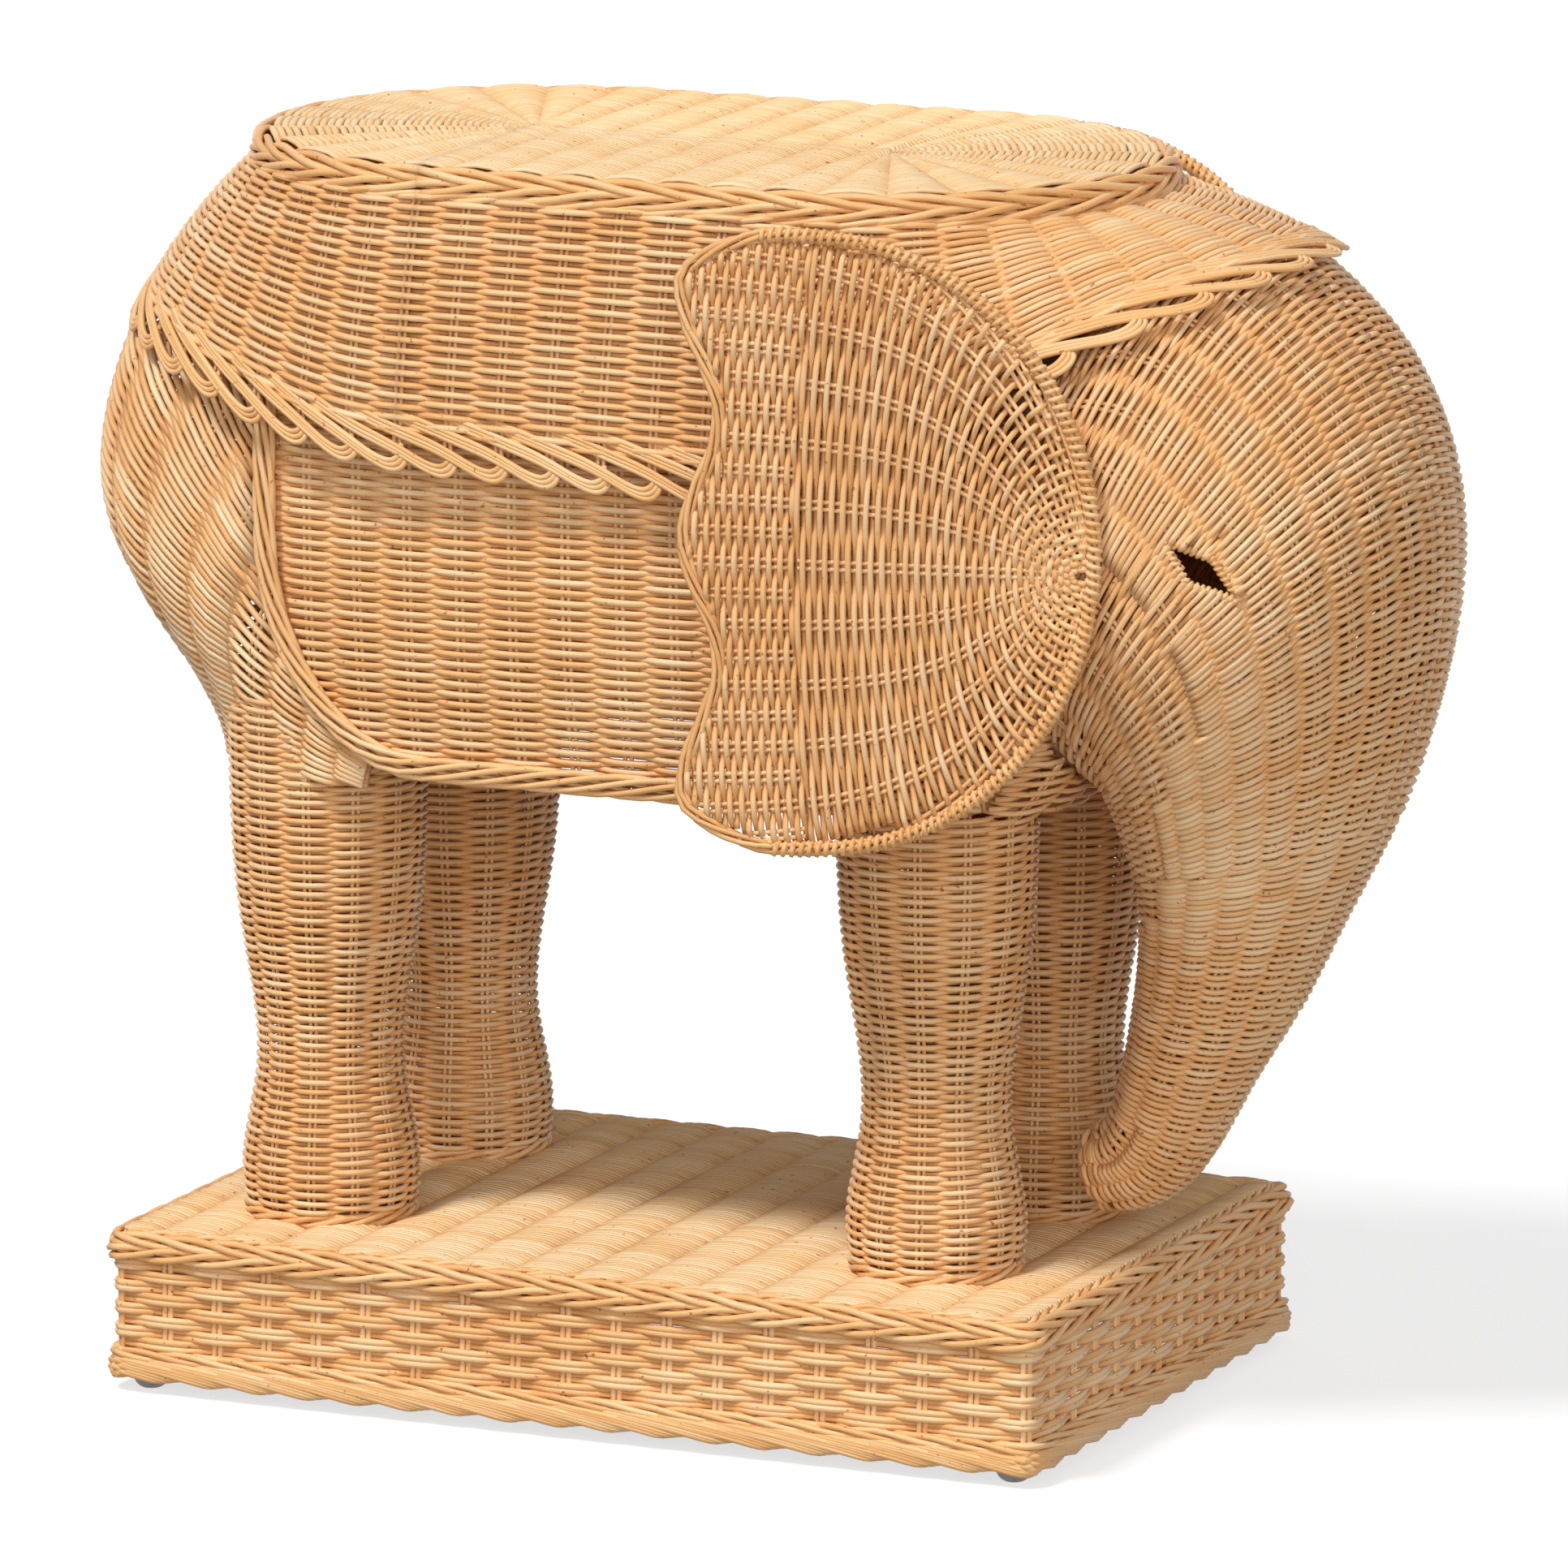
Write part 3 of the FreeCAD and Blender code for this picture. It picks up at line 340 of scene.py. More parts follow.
def weaveRows(bundle, grid, look, closed=False, deepest=2):
    look = {**plainWeave, **look}
    points, normals, ok, phase = grid
    rows, cols = ok.shape
    wave = np.cos(np.pi * phase)
    wave = np.sign(np.round(wave, 6)) * np.abs(wave) ** look["square"]
    step = np.linalg.norm(np.diff(points, axis=0), axis=-1)
    pitch = np.concatenate([step[:1], (step[:-1] + step[1:]) / 2, step[-1:]])
    level = np.zeros(ok.shape, int)
    for k in range(deepest):
        level += pitch < look["pitch"] * look["crowded"] / 2 ** k
    # where rows crowd, some are left out, from one stake to the next
    atStake = np.flatnonzero(np.abs(phase - np.round(phase)) < 1e-6)
    nearest = np.searchsorted(phase[atStake], phase - 0.5)
    level = level[:, atStake[nearest % len(atStake)]]
    index = np.arange(rows)[:, None]
    keep = ok & (index % (1 << level) == 0)
    sign = 1.0 - 2.0 * ((index >> level) & 1)
    reach = np.broadcast_to(look["reach"], rows)
    down = unit(np.gradient(points, axis=0))
    start = fullTurn * rng.random((rows, 1))
    wander = look["wander"] * np.sin(phase[None] * look["wanderPace"] + start)
    lift = look["lift"] * sign * wave * look["ease"]
    path = points + normals * lift[..., None] + down * wander[..., None]
    for r in range(rows):
        tone = look["base"] + look["vary"] * (rng.random() - 0.5)
        thick = look["radius"] * (1 + look["thickVary"] * (rng.random() - 0.5))
        for run in runsOf(keep[r], closed):
            if len(run) < 3:
                continue
            line = path[r, run].copy()
            if not (closed and keep[r].all()):
                for end, inner in ((0, 1), (-1, -2)):
                    if 0 < run[end] < cols - 1:
                        line[end] += unit(line[end] - line[inner]) * reach[r]
                        line[end] -= normals[r, run[end]] * look["lift"]
            drift = tone + look["fade"] * np.sin(phase[run] * look["fadePace"] + fullTurn * rng.random())
            # painted light and shade: each strand is made paler where it rides over a stake and darker where
            # it dips under, standing in for light on the ridges and shade in the hollows
            drift = drift + look["paintedCrestLight"] * sign[r, run] * wave[run]
            for part, side, shade in cutLine(line, normals[r, run], drift, look["opening"]):
                addStrand(bundle, part, side, thick, shade, look["flat"])


def cutLine(line, side, shade, opening):
    # parts a strand where it would cross an opening, and ends it on the edge
    if opening is None:
        return [(line, side, shade)]
    cuts = 10  # steps from one point of the strand to the next
    fine = np.linspace(0, len(line) - 1, (len(line) - 1) * cuts + 1)
    dense = np.stack([np.interp(fine, np.arange(len(line)), line[:, k]) for k in range(3)], 1)
    inside = opening(dense)
    if not inside.any():
        return [(line, side, shade)]
    parts = []
    for run in runsOf(~inside, False):
        knots = run[(run % cuts == 0) | (run == run[0]) | (run == run[-1])]
        near = np.round(fine[knots]).astype(int)
        parts.append((dense[knots], side[near], shade[near]))
    return parts


def weaveStakes(bundle, grid, look, closed=False, every=4):
    look = {**plainWeave, **look}
    points, normals, ok, phase = grid
    rows = len(ok)
    if closed:
        across = unit(np.roll(points, -1, 1) - np.roll(points, 1, 1))
    else:
        across = unit(np.gradient(points, axis=1))
    pick = np.unique(np.append(np.arange(0, rows, every), rows - 1))
    for c in np.flatnonzero(np.abs(phase - np.round(phase)) < 1e-6):
        for k in (-1, 1):
            line = points[pick, c] + across[pick, c] * k * look["stakeGap"] / 2
            tone = look["stakeTone"] + look["stakeVary"] * rng.random()
            for run in runsOf(ok[pick, c], False):
                sides, shades = normals[pick, c][run], np.full(len(run), tone)
                for part, side, shade in cutLine(line[run], sides, shades, look["opening"]):
                    addStrand(bundle, part, side, look["stakeRadius"], shade, look["stakeFlat"])


def weave(bundle, grid, look, closed=False, deepest=0, every=4):
    weaveRows(bundle, grid, look, closed, deepest)
    weaveStakes(bundle, grid, look, closed, every)


def treeOf(name):
    mesh = nodes[name].data
    co = np.zeros(len(mesh.vertices) * 3, np.float32)
    mesh.vertices.foreach_get("co", co)
    verts = [tuple(v) for v in co.reshape(-1, 3).astype(float)]
    return BVHTree.FromPolygons(verts, [list(p.vertices) for p in mesh.polygons])


def castGrid(tree, starts, aims, reach, inside=False):
    shape = starts.shape[:-1]
    points = np.zeros(shape + (3,))
    normals = np.zeros(shape + (3,))
    ok = np.zeros(shape, bool)
    for i in np.ndindex(shape):
        hit, normal = tree.ray_cast(Vector(starts[i]), Vector(aims[i]), reach)[:2]
        if hit is not None:
            points[i] = hit
            normals[i] = -normal if inside else normal
            ok[i] = True
    return points, unit(normals), ok


def settle(normals, ok, closed=False):
    # evens out the facets' normals along the rows
    total = normals.copy()
    for k in (-1, 1):
        near = np.roll(normals, k, 1)
        fine = np.roll(ok, k, 1)
        if not closed:
            fine[:, 0 if k == 1 else -1] = False
        total += near * fine[..., None]
    return unit(total)


skinDepth = 2 * mm  # from the CAD skin to the middle of the strands
sideCast = {"from": -0.25, "reach": 0.2}  # rays at the right side, from outside it


def skinGrid(points, normals, ok, phase, closed=False, depth=-skinDepth):
    normals = settle(normals, ok, closed)
    return points + normals * depth, normals, ok, phase


def castFromRight(tree, x, z):
    starts = np.stack(np.broadcast_arrays(x, sideCast["from"], z), -1)
    return castGrid(tree, starts, allFacing(leftward, starts), sideCast["reach"])


# Ropes and rolled borders along a line

def rope(bundle, line, outward, count, look, hand=1, closed=True):
    lay = look["lay"]
    path, run = evenPath(line, lay / borderLook["pointsPerLay"], closed)
    base = np.asarray(line, float)
    out = np.asarray(outward, float)
    if closed:
        base, out = np.vstack([base, base[:1]]), np.vstack([out, out[:1]])
    length = np.concatenate([[0], np.cumsum(np.linalg.norm(np.diff(base, axis=0), axis=1))])
    out = unit(np.stack([np.interp(run, length, out[:, k]) for k in range(3)], 1))
    ahead = unit(np.gradient(path, axis=0))
    across = unit(np.cross(ahead, out))
    turns = max(1, round(run[-1] / lay)) if closed else run[-1] / lay
    for j in range(count):
        angle = hand * 2 * np.pi * (turns * run / run[-1] + j / count)
        lift = np.sin(angle)[:, None] * look["deep"]
        spread = np.cos(angle)[:, None] * look["wide"]
        thick = look["radius"] * (1 + borderLook["thickVary"] * (rng.random() - 0.5))
        addStrand(bundle, path + out * lift + across * spread, out, thick)


def rolledBorder(bundle, lineAt, groups, look):
    # lineAt(phase) gives the middle of the band, its outward side and its way down
    for g in range(groups):
        wobble = borderLook["wobble"] * (rng.random(3) - 0.5)
        for j in range(look["strands"]):
            aside = j - (look["strands"] - 1) / 2
            key = np.array(look["shape"], float)
            key[:, 0] += g + aside * look["spread"] + wobble[0]
            key[:, 1] += wobble[1] - aside * look["fan"]
            curve = throughPoints(key, look["steps"])
            middle, out, down = lineAt(curve[:, 0])
            sink = (curve[:, 1] - 0.5) * look["width"]
            rise = curve[:, 2] * look["lift"]
            points = middle + down * sink[:, None] + out * rise[:, None]
            thick = look["radius"] * (1 + borderLook["thickVary"] * (rng.random() - 0.5))
            addStrand(bundle, points, out, thick)


# Plinth walls: double strands over stake pairs, round all four sides

wallLook = {"rows": 9, "radius": 1.5 * mm, "lift": 1.4 * mm, "pairGap": 2.35 * mm, "pitch": 2.35 * mm,
            "stakeGap": 2.7 * mm, "stakeRadius": 1.3 * mm, "longStakes": 18, "shortStakes": 12,
            "corner": 6 * mm, "inset": 2.2 * mm, "stakeEnds": 4 * mm}
wallLow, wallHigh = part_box("plinth_side_right")
plinthX = (wallLow.x + wallHigh.x) / 2
plinthHalfX = (wallHigh.x - wallLow.x) / 2
plinthHalfY = -wallLow.y


def plinthLine(phase, inset):
    hx, hy, r = plinthHalfX - inset, plinthHalfY - inset, wallLook["corner"]
    counts = [wallLook["longStakes"], wallLook["shortStakes"]] * 2
    corners = [(-1, -1), (1, -1), (1, 1), (-1, 1)]
    heads = [(1, 0), (0, 1), (-1, 0), (0, -1)]
    points, outs = [], []
    for value in np.mod(np.atleast_1d(phase), sum(counts)):
        side = 0
        while value >= counts[side]:
            value -= counts[side]
            side += 1
        head = np.array(heads[side], float)
        out = np.array([head[1], -head[0]])
        start = np.array(corners[side], float) * (hx, hy)
        long = 2 * (hx if side % 2 == 0 else hy)
        arc = math.pi * r / 4
        at = value / counts[side] * (long - 2 * r + 2 * arc)
        if at < arc:
            a = math.pi / 4 - at / r
            middle = start + (head - out) * r
            normal = out * math.cos(a) - head * math.sin(a)
            point = middle + normal * r
        elif at > long - 2 * r + arc:
            a = (at - (long - 2 * r + arc)) / r
            middle = start + head * (long - r) - out * r
            normal = out * math.cos(a) + head * math.sin(a)
            point = middle + normal * r
        else:
            point, normal = start + head * (r + at - arc), out
        points.append((point[0] + plinthX, point[1], 0.0))
        outs.append((normal[0], normal[1], 0.0))
    return np.array(points), np.array(outs)


wallStakes = 2 * (wallLook["longStakes"] + wallLook["shortStakes"])
corners = np.cumsum([0, wallLook["longStakes"], wallLook["shortStakes"], wallLook["longStakes"]])
phase = np.concatenate([stakePhases(wallStakes, True), np.mod(corners - 0.1, wallStakes), corners + 0.1])
phase = np.sort(phase)
line, out = plinthLine(phase, wallLook["inset"])
wallZ = wallLow.z + (np.arange(wallLook["rows"]) + 0.5) * (wallHigh.z - wallLow.z) / wallLook["rows"]
plinthWalls = []
for half in (-0.5, 0.5):
    grid = np.repeat(line[None], len(wallZ), 0)
    grid[..., 2] = wallZ[:, None] + half * wallLook["pairGap"]
    weaveRows(plinthWalls, (grid, allFacing(out, grid), allWoven(grid), phase), wallLook, True)
stakeZ = np.linspace(wallLow.z - wallLook["stakeEnds"], wallHigh.z + wallLook["stakeEnds"], 5)
grid = np.repeat(line[None], len(stakeZ), 0)
grid[..., 2] = stakeZ[:, None]
weaveStakes(plinthWalls, (grid, allFacing(out, grid), allWoven(grid), phase), wallLook, True, every=1)
addPiece("plinthWalls", plinthWalls, 6, "rattan_weave",
         "plinth_side_right", "plinth_side_left", "plinth_side_front", "plinth_side_rear")


# Plinth top: flat strands packed along X over cross ribs

plinthTopLook = {"pitch": 1.6 * mm, "radius": 1.45 * mm, "flat": 0.72, "lift": 2.5 * mm, "ribs": 15,
                 "ribRadius": 1.6 * mm, "wander": 0.25 * mm, "base": 0.34, "vary": 0.45, "paintedCrestLight": 0.3,
                 "sink": 1.6 * mm, "ribSink": 1.7 * mm, "ribTone": 0.3, "first": 0.5 * mm}
topLow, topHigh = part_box("plinth_top_panel")
ys = np.arange(topLow.y + plinthTopLook["first"], topHigh.y, plinthTopLook["pitch"])
phase = stakePhases(plinthTopLook["ribs"], False)
xs = topLow.x + (topHigh.x - topLow.x) * phase / plinthTopLook["ribs"]
topZ = topHigh.z - plinthTopLook["sink"]
grid = np.stack(np.broadcast_arrays(xs[None], ys[:, None], topZ), -1).astype(float)
plinthTop = []
weaveRows(plinthTop, (grid, allFacing(upward, grid), allWoven(grid), phase), plinthTopLook, deepest=0)
ribY, ribZ = np.linspace(topLow.y, topHigh.y, 6), topHigh.z - plinthTopLook["ribSink"]
for x in xs[::4]:
    rib = np.stack(np.broadcast_arrays(x, ribY, ribZ), -1)
    addStrand(plinthTop, rib, allFacing(upward, rib), plinthTopLook["ribRadius"], plinthTopLook["ribTone"])
addPiece("plinthTop", plinthTop, 5, "rattan_top", "plinth_top_panel")


# Plinth borders: two ropes of opposite lay above, a rolled edge below

# ropes by height, inset, tilt and hand
edgeLook = {"radius": 1.55 * mm, "lay": 62 * mm, "wide": 2.3 * mm, "deep": 1.5 * mm,
            "ropes": ((3.0 * mm, -0.6 * mm, 0.1, 1), (8.4 * mm, 0.6 * mm, 0.75, -1)),
            "inner": {"inset": 5.2 * mm, "sink": 0.6 * mm, "lay": 22 * mm, "wide": 1.3 * mm, "deep": 1.0 * mm,
                      "radius": 1.2 * mm}}
borderLow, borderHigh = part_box("plinth_top_border")
dense = np.linspace(0, wallStakes, 480, endpoint=False)
plinthEdge = []
for height, inset, tilt, hand in edgeLook["ropes"]:
    line, out = plinthLine(dense, inset)
    line[:, 2] = borderLow.z + height
    rope(plinthEdge, line, unit(out + np.array((0, 0, tilt))), 3, edgeLook, hand)
line = plinthLine(dense, edgeLook["inner"]["inset"])[0]
line[:, 2] = borderHigh.z - edgeLook["inner"]["sink"]
rope(plinthEdge, line, allFacing(upward, line), 2, edgeLook["inner"])
addPiece("plinthTopEdge", plinthEdge, 6, "rattan_border", "plinth_top_border")

# each stake end bends down, along the edge and in again; ropes by inset, height and radius
baseLook = {"radius": 1.4 * mm, "lift": 1.8 * mm, "fan": 0.09, "spread": 0.15, "width": 7.2 * mm,
            "strands": 3, "steps": 15, "inset": 0.3 * mm, "raise": 0.9 * mm,
            "shape": [(-1.6, 0.02, -0.6), (-1.2, 0.06, 0.4), (-0.6, 0.22, 0.95), (0.1, 0.50, 1.05),
                      (0.65, 0.78, 0.95), (1.0, 0.98, 0.6), (1.2, 0.98, -0.1), (1.3, 0.8, -0.9)],
            "lay": 62 * mm, "wide": 1.7 * mm, "deep": 1.4 * mm,
            "ropes": ((3.2 * mm, 5 * mm, 1.5 * mm), (0.2 * mm, 11.2 * mm, 1.35 * mm))}
baseLow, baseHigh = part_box("plinth_bottom_border")


def baseLine(phase):
    line, out = plinthLine(phase, baseLook["inset"])
    line[:, 2] = (baseLow.z + baseHigh.z) / 2 + baseLook["raise"]
    return line, out, -allFacing(upward, line)


plinthBase = []
rolledBorder(plinthBase, baseLine, wallStakes, baseLook)
for inset, height, radius in baseLook["ropes"]:
    line, out = plinthLine(dense, inset)
    line[:, 2] = baseLow.z + height
    rope(plinthBase, line, out, 3, {**baseLook, "radius": radius}, -1)
addPiece("plinthBaseEdge", plinthBase, 6, "rattan_border", "plinth_bottom_border")
print("plinth woven")


# Table top: flat strands in long rounds about two points, over ribs that fan at the ends

tableLook = {"pitch": 1.6 * mm, "radius": 1.7 * mm, "flat": 0.62, "lift": 2.3 * mm, "wander": 0.2 * mm,
             "base": 0.4, "vary": 0.3, "paintedCrestLight": 0.3, "sideRibs": 7, "endRibs": 12, "ribRadius": 1.5 * mm,
             "first": 1.2 * mm, "sink": 1.7 * mm, "coreSink": 1.2 * mm, "fullLift": 45 * mm,
             "leastLift": 0.25, "edge": 0.3 * mm, "ribTone": 0.3, "coreTone": 0.45}
rimLow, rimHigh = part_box("table_border")
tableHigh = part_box("table_top")[1]
tableX = (rimLow.x + rimHigh.x) / 2
rimRadius = rimHigh.y
focus = (rimHigh.x - rimLow.x) / 2 - rimRadius


def ovalLine(phase, radius, sideCount, endCount):
    # starts at the rear end of the right side and runs to the front
    total = 2 * (sideCount + endCount)
    value = np.mod(np.asarray(phase, float), total)
    x = np.zeros_like(value)
    nx = np.zeros_like(value)
    ny = np.zeros_like(value)
    right = value < sideCount
    x[right] = -focus + 2 * focus * value[right] / sideCount
    ny[right] = -1
    front = (value >= sideCount) & (value < sideCount + endCount)
    a = np.pi * (value[front] - sideCount) / endCount - np.pi / 2
    x[front], nx[front], ny[front] = focus, np.cos(a), np.sin(a)
    left = (value >= sideCount + endCount) & (value < 2 * sideCount + endCount)
    x[left] = focus - 2 * focus * (value[left] - sideCount - endCount) / sideCount
    ny[left] = 1
    rear = value >= 2 * sideCount + endCount
    a = np.pi * (value[rear] - 2 * sideCount - endCount) / endCount + np.pi / 2
    x[rear], nx[rear], ny[rear] = -focus, np.cos(a), np.sin(a)
    return np.stack([tableX + x + nx * radius, ny * radius, 0 * x], -1), np.stack([nx, ny, 0 * nx], -1)


def tableRound(phase, reach):
    return ovalLine(phase, reach, tableLook["sideRibs"], tableLook["endRibs"])


phase = stakePhases(2 * (tableLook["sideRibs"] + tableLook["endRibs"]), True)
reaches = np.arange(tableLook["first"], tableHigh.y - tableLook["edge"], tableLook["pitch"])
grid = np.stack([tableRound(phase, reach)[0] for reach in reaches])
grid[..., 2] = tableHigh.z - tableLook["sink"]
ends = np.abs(tableRound(phase, 1.0)[1][:, 0]) > 0.01
ease = np.clip(reaches[:, None] / tableLook["fullLift"], tableLook["leastLift"], 1)
ease = np.where(ends[None], ease, 1.0)
tableTop = []
weaveRows(tableTop, (grid, allFacing(upward, grid), allWoven(grid), phase), {**tableLook, "ease": ease}, True,
          deepest=0)
for c in range(0, len(phase), 4):
    rib = grid[::12, c]
    addStrand(tableTop, rib, allFacing(upward, rib), tableLook["ribRadius"], tableLook["ribTone"])
core = tableX + np.linspace(-focus, focus, 12)
core = np.stack(np.broadcast_arrays(core, 0.0, tableHigh.z - tableLook["coreSink"]), -1)
addStrand(tableTop, core, allFacing(upward, core), tableLook["radius"], tableLook["coreTone"])
addPiece("tableTop", tableTop, 5, "rattan_top", "table_top")

# ropes by height, inset, tilt and hand
rimLook = {"radius": 1.7 * mm, "lay": 74 * mm, "wide": 2.5 * mm, "deep": 1.7 * mm,
           "sideSteps": 8, "endSteps": 22,
           "ropes": ((3.6 * mm, 2.6 * mm, 0.15, 1), (8.6 * mm, 4.2 * mm, 0.9, -1)),
           "lower": {"inset": 1.6 * mm, "height": 0.4 * mm, "lay": 41 * mm, "wide": 1.2 * mm,
                     "deep": 1.0 * mm, "radius": 1.3 * mm}}


def tableEdge(inset, height):
    steps = rimLook["sideSteps"], rimLook["endSteps"]
    line, out = ovalLine(np.linspace(0, 2 * sum(steps), 420, endpoint=False), rimRadius - inset, *steps)
    line[:, 2] = rimLow.z + height
    return line, out


tableRim = []
for height, inset, tilt, hand in rimLook["ropes"]:
    line, out = tableEdge(inset, height)
    rope(tableRim, line, unit(out + np.array((0, 0, tilt))), 3, rimLook, hand)
line, out = tableEdge(rimLook["lower"]["inset"], rimLook["lower"]["height"])
rope(tableRim, line, out, 2, rimLook["lower"])
addPiece("tableRim", tableRim, 6, "rattan_border", "table_border")
print("table woven")


# Saddle skirt and its rolled hem: sizes as flare outwards and drop downwards from the rim

skirtLook = {"flareSide": 21 * mm, "flareRear": 54 * mm, "flareFront": 71 * mm, "dropSide": 110 * mm,
             "dropRear": 68 * mm, "dropFront": 20 * mm, "tilt": 0.035, "bulge": 4 * mm, "hem": 15 * mm,
             "sideStakes": 7, "endStakes": 19, "rows": 46, "radius": 1.42 * mm,
             "lift": 1.9 * mm, "stakeGap": 2.5 * mm, "stakeRadius": 0.95 * mm, "sink": -2 * mm,
             "lastRow": 0.94}


def skirtPoint(phase, along, lift, fromHem=False):
    rim, out = ovalLine(phase, rimRadius, skirtLook["sideStakes"], skirtLook["endStakes"])
    nx = out[..., 0]
    end = nx ** 2
    flare = skirtLook["flareSide"] + (np.where(nx > 0, skirtLook["flareFront"], skirtLook["flareRear"])
                                      - skirtLook["flareSide"]) * end
    rise = end * (1.5 - 0.5 * end)
    drop = skirtLook["dropSide"] + (np.where(nx > 0, skirtLook["dropFront"], skirtLook["dropRear"])
                                    - skirtLook["dropSide"]) * rise
    drop = drop + skirtLook["tilt"] * (rim[..., 0] - tableX) * (1 - rise)
    length = np.hypot(flare, drop)
    share = 1 + along / length if fromHem else along * (length - skirtLook["hem"] / 2) / length
    rest = lift + skirtLook["bulge"] * 4 * share * (1 - share)
    reach = flare * share + rest * drop / length
    down = drop * share - rest * flare / length
    point = rim + out * reach[..., None]
    point[..., 2] = rimLow.z - down
    outward = out * (drop / length)[..., None] + np.array((0, 0, 1.0)) * (flare / length)[..., None]
    return point, outward


stakes = 2 * (skirtLook["sideStakes"] + skirtLook["endStakes"])
phase = stakePhases(stakes, True)
share = np.linspace(0.0, 1.0, skirtLook["rows"])
pairs = [skirtPoint(phase, s, skirtLook["sink"]) for s in share]
woven = np.repeat(share[:, None] < skirtLook["lastRow"], len(phase), 1)
points, normals = np.stack([p[0] for p in pairs]), np.stack([p[1] for p in pairs])
skirt = []
weaveRows(skirt, (points, normals, woven, phase), skirtLook, True, deepest=0)
weaveStakes(skirt, (points, normals, allWoven(points), phase), skirtLook, True)
addPiece("saddleSkirt", skirt, 5, "rattan_weave", "saddle_skirt")

# each stake bends along the hem, over its neighbours, and hooks up behind it
hemLook = {"radius": 1.18 * mm, "lift": 2.6 * mm, "fan": -0.115, "spread": 0.05, "width": 16 * mm,
           "strands": 3, "steps": 30,
           "shape": [(-3.2, -0.36, -0.9), (-2.8, -0.22, 0.0), (-2.25, -0.02, 0.5), (-1.75, 0.18, 0.8),
                     (-1.4, 0.32, 0.95), (-1.1, 0.46, 1.0), (-0.75, 0.66, 1.05), (-0.45, 0.85, 1.05),
                     (-0.2, 0.97, 1.05), (-0.02, 0.99, 1.05), (0.11, 0.9, 1.0), (0.17, 0.74, 0.8),
                     (0.15, 0.55, 0.2)]}


def hemLine(phase):
    middle, out = skirtPoint(phase, -skirtLook["hem"] / 2, skirtLook["sink"], True)
    lower = skirtPoint(phase, 0.0, skirtLook["sink"], True)[0]
    return middle, out, unit(lower - middle)


hem = []
rolledBorder(hem, hemLine, stakes, hemLook)
addPiece("saddleHem", hem, 6, "rattan_border", "saddle_hem")
print("saddle woven")


# Flanks: level rows over upright stake pairs, with a loose bundle along the lower edge

flankLook = {"pitch": 2.13 * mm, "radius": 1.42 * mm, "lift": 1.45 * mm, "stakePitch": 23 * mm,
             "stakeGap": 2.8 * mm, "stakeRadius": 1.0 * mm, "edge": 0.6 * mm, "firstRow": 1 * mm}
flankLow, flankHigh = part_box("flank_panel_right")
count = int((flankHigh.x - flankLow.x) / flankLook["stakePitch"])
phase = stakePhases(count, False)
xs = flankLow.x + flankLook["edge"] + (flankHigh.x - flankLow.x - 2 * flankLook["edge"]) * phase / count
zs = np.arange(flankLow.z + flankLook["firstRow"], flankHigh.z, flankLook["pitch"])
grid = skinGrid(*castFromRight(treeOf("flank_panel_right"), xs[None], zs[:, None]), phase)
flank = []
weave(flank, grid, flankLook)
addPair("flank", flank, 6, "rattan_weave", "flank_panel")

seamLook = {"cornerX": 75 * mm, "cornerZ": 102 * mm, "bar": 12 * mm, "radius": 1.35 * mm, "lay": 120 * mm,
            "wide": 4.4 * mm, "deep": 1.5 * mm, "sink": 2.4 * mm, "ends": 2 * mm, "aboveBend": 3 * mm,
            "pastBend": 8 * mm}
seamLow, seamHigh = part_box("flank_border_right")
half = seamLook["bar"] / 2
turnX, turnZ = seamLow.x + seamLook["cornerX"], seamLow.z + seamLook["cornerZ"]
bowX, bowZ = seamLook["cornerX"] - half, seamLook["cornerZ"] - half
rise = np.linspace(seamHigh.z - seamLook["ends"], turnZ + seamLook["aboveBend"], 12)
level = np.linspace(turnX + seamLook["pastBend"], seamHigh.x - seamLook["ends"], 22)
seam = [(seamLow.x + half, z) for z in rise]
seam += [(turnX - bowX * math.cos(a), turnZ - bowZ * math.sin(a)) for a in np.linspace(0, math.pi / 2, 14)]
seam += [(x, seamLow.z + half) for x in level]
seam = np.array(seam)[None]
points, normals, ok = castFromRight(treeOf("flank_border_right"), seam[..., 0], seam[..., 1])
flankSeam = []
rope(flankSeam, (points - normals * seamLook["sink"])[ok], normals[ok], 6, seamLook, closed=False)
addPair("flankSeam", flankSeam, 6, "rattan_border", "flank_border")


# Rump: rows fan out from a point low inside the body
# above reachFrom degrees they run on by reach, in behind the flank's seam

rumpLook = {"pivotX": -97 * mm, "pivotZ": 250 * mm, "pitch": 2.13 * mm, "radius": 1.45 * mm, "lift": 1.6 * mm,
            "foremost": -138 * mm, "stakes": 24, "low": -24, "high": 92, "rows": 190, "reach": 6 * mm,
            "reachFrom": 12, "stakeGap": 2.6 * mm, "stakeRadius": 0.95 * mm, "base": 0.44, "vary": 0.42,
            "paintedCrestLight": 0.3, "castFrom": 0.35, "castReach": 0.33}
phase = stakePhases(rumpLook["stakes"], False)
angle = np.radians(np.linspace(rumpLook["low"], rumpLook["high"], rumpLook["rows"]))
sweep = np.pi * (phase / rumpLook["stakes"] - 0.5)
spoke = np.stack([-np.cos(angle), 0 * angle, np.sin(angle)], -1)
aims = -(np.cos(sweep)[None, :, None] * spoke[:, None] + np.sin(sweep)[None, :, None] * np.array(leftward))
pivot = np.array((rumpLook["pivotX"], 0, rumpLook["pivotZ"]))
starts = pivot - aims * rumpLook["castFrom"]
points, normals, ok = castGrid(treeOf("rump_panel"), starts, aims, rumpLook["castReach"])
ok &= (np.einsum("ijk,ijk->ij", normals, aims) < 0) & (points[..., 0] < rumpLook["foremost"])
grid = skinGrid(points, normals, ok, phase)
reach = np.where(angle > math.radians(rumpLook["reachFrom"]), rumpLook["reach"], 0.0)
rump = []
weave(rump, grid, {**rumpLook, "reach": reach}, deepest=1)
addPiece("rump", rump, 5, "rattan_weave", "rump_panel")


# Chest behind the trunk

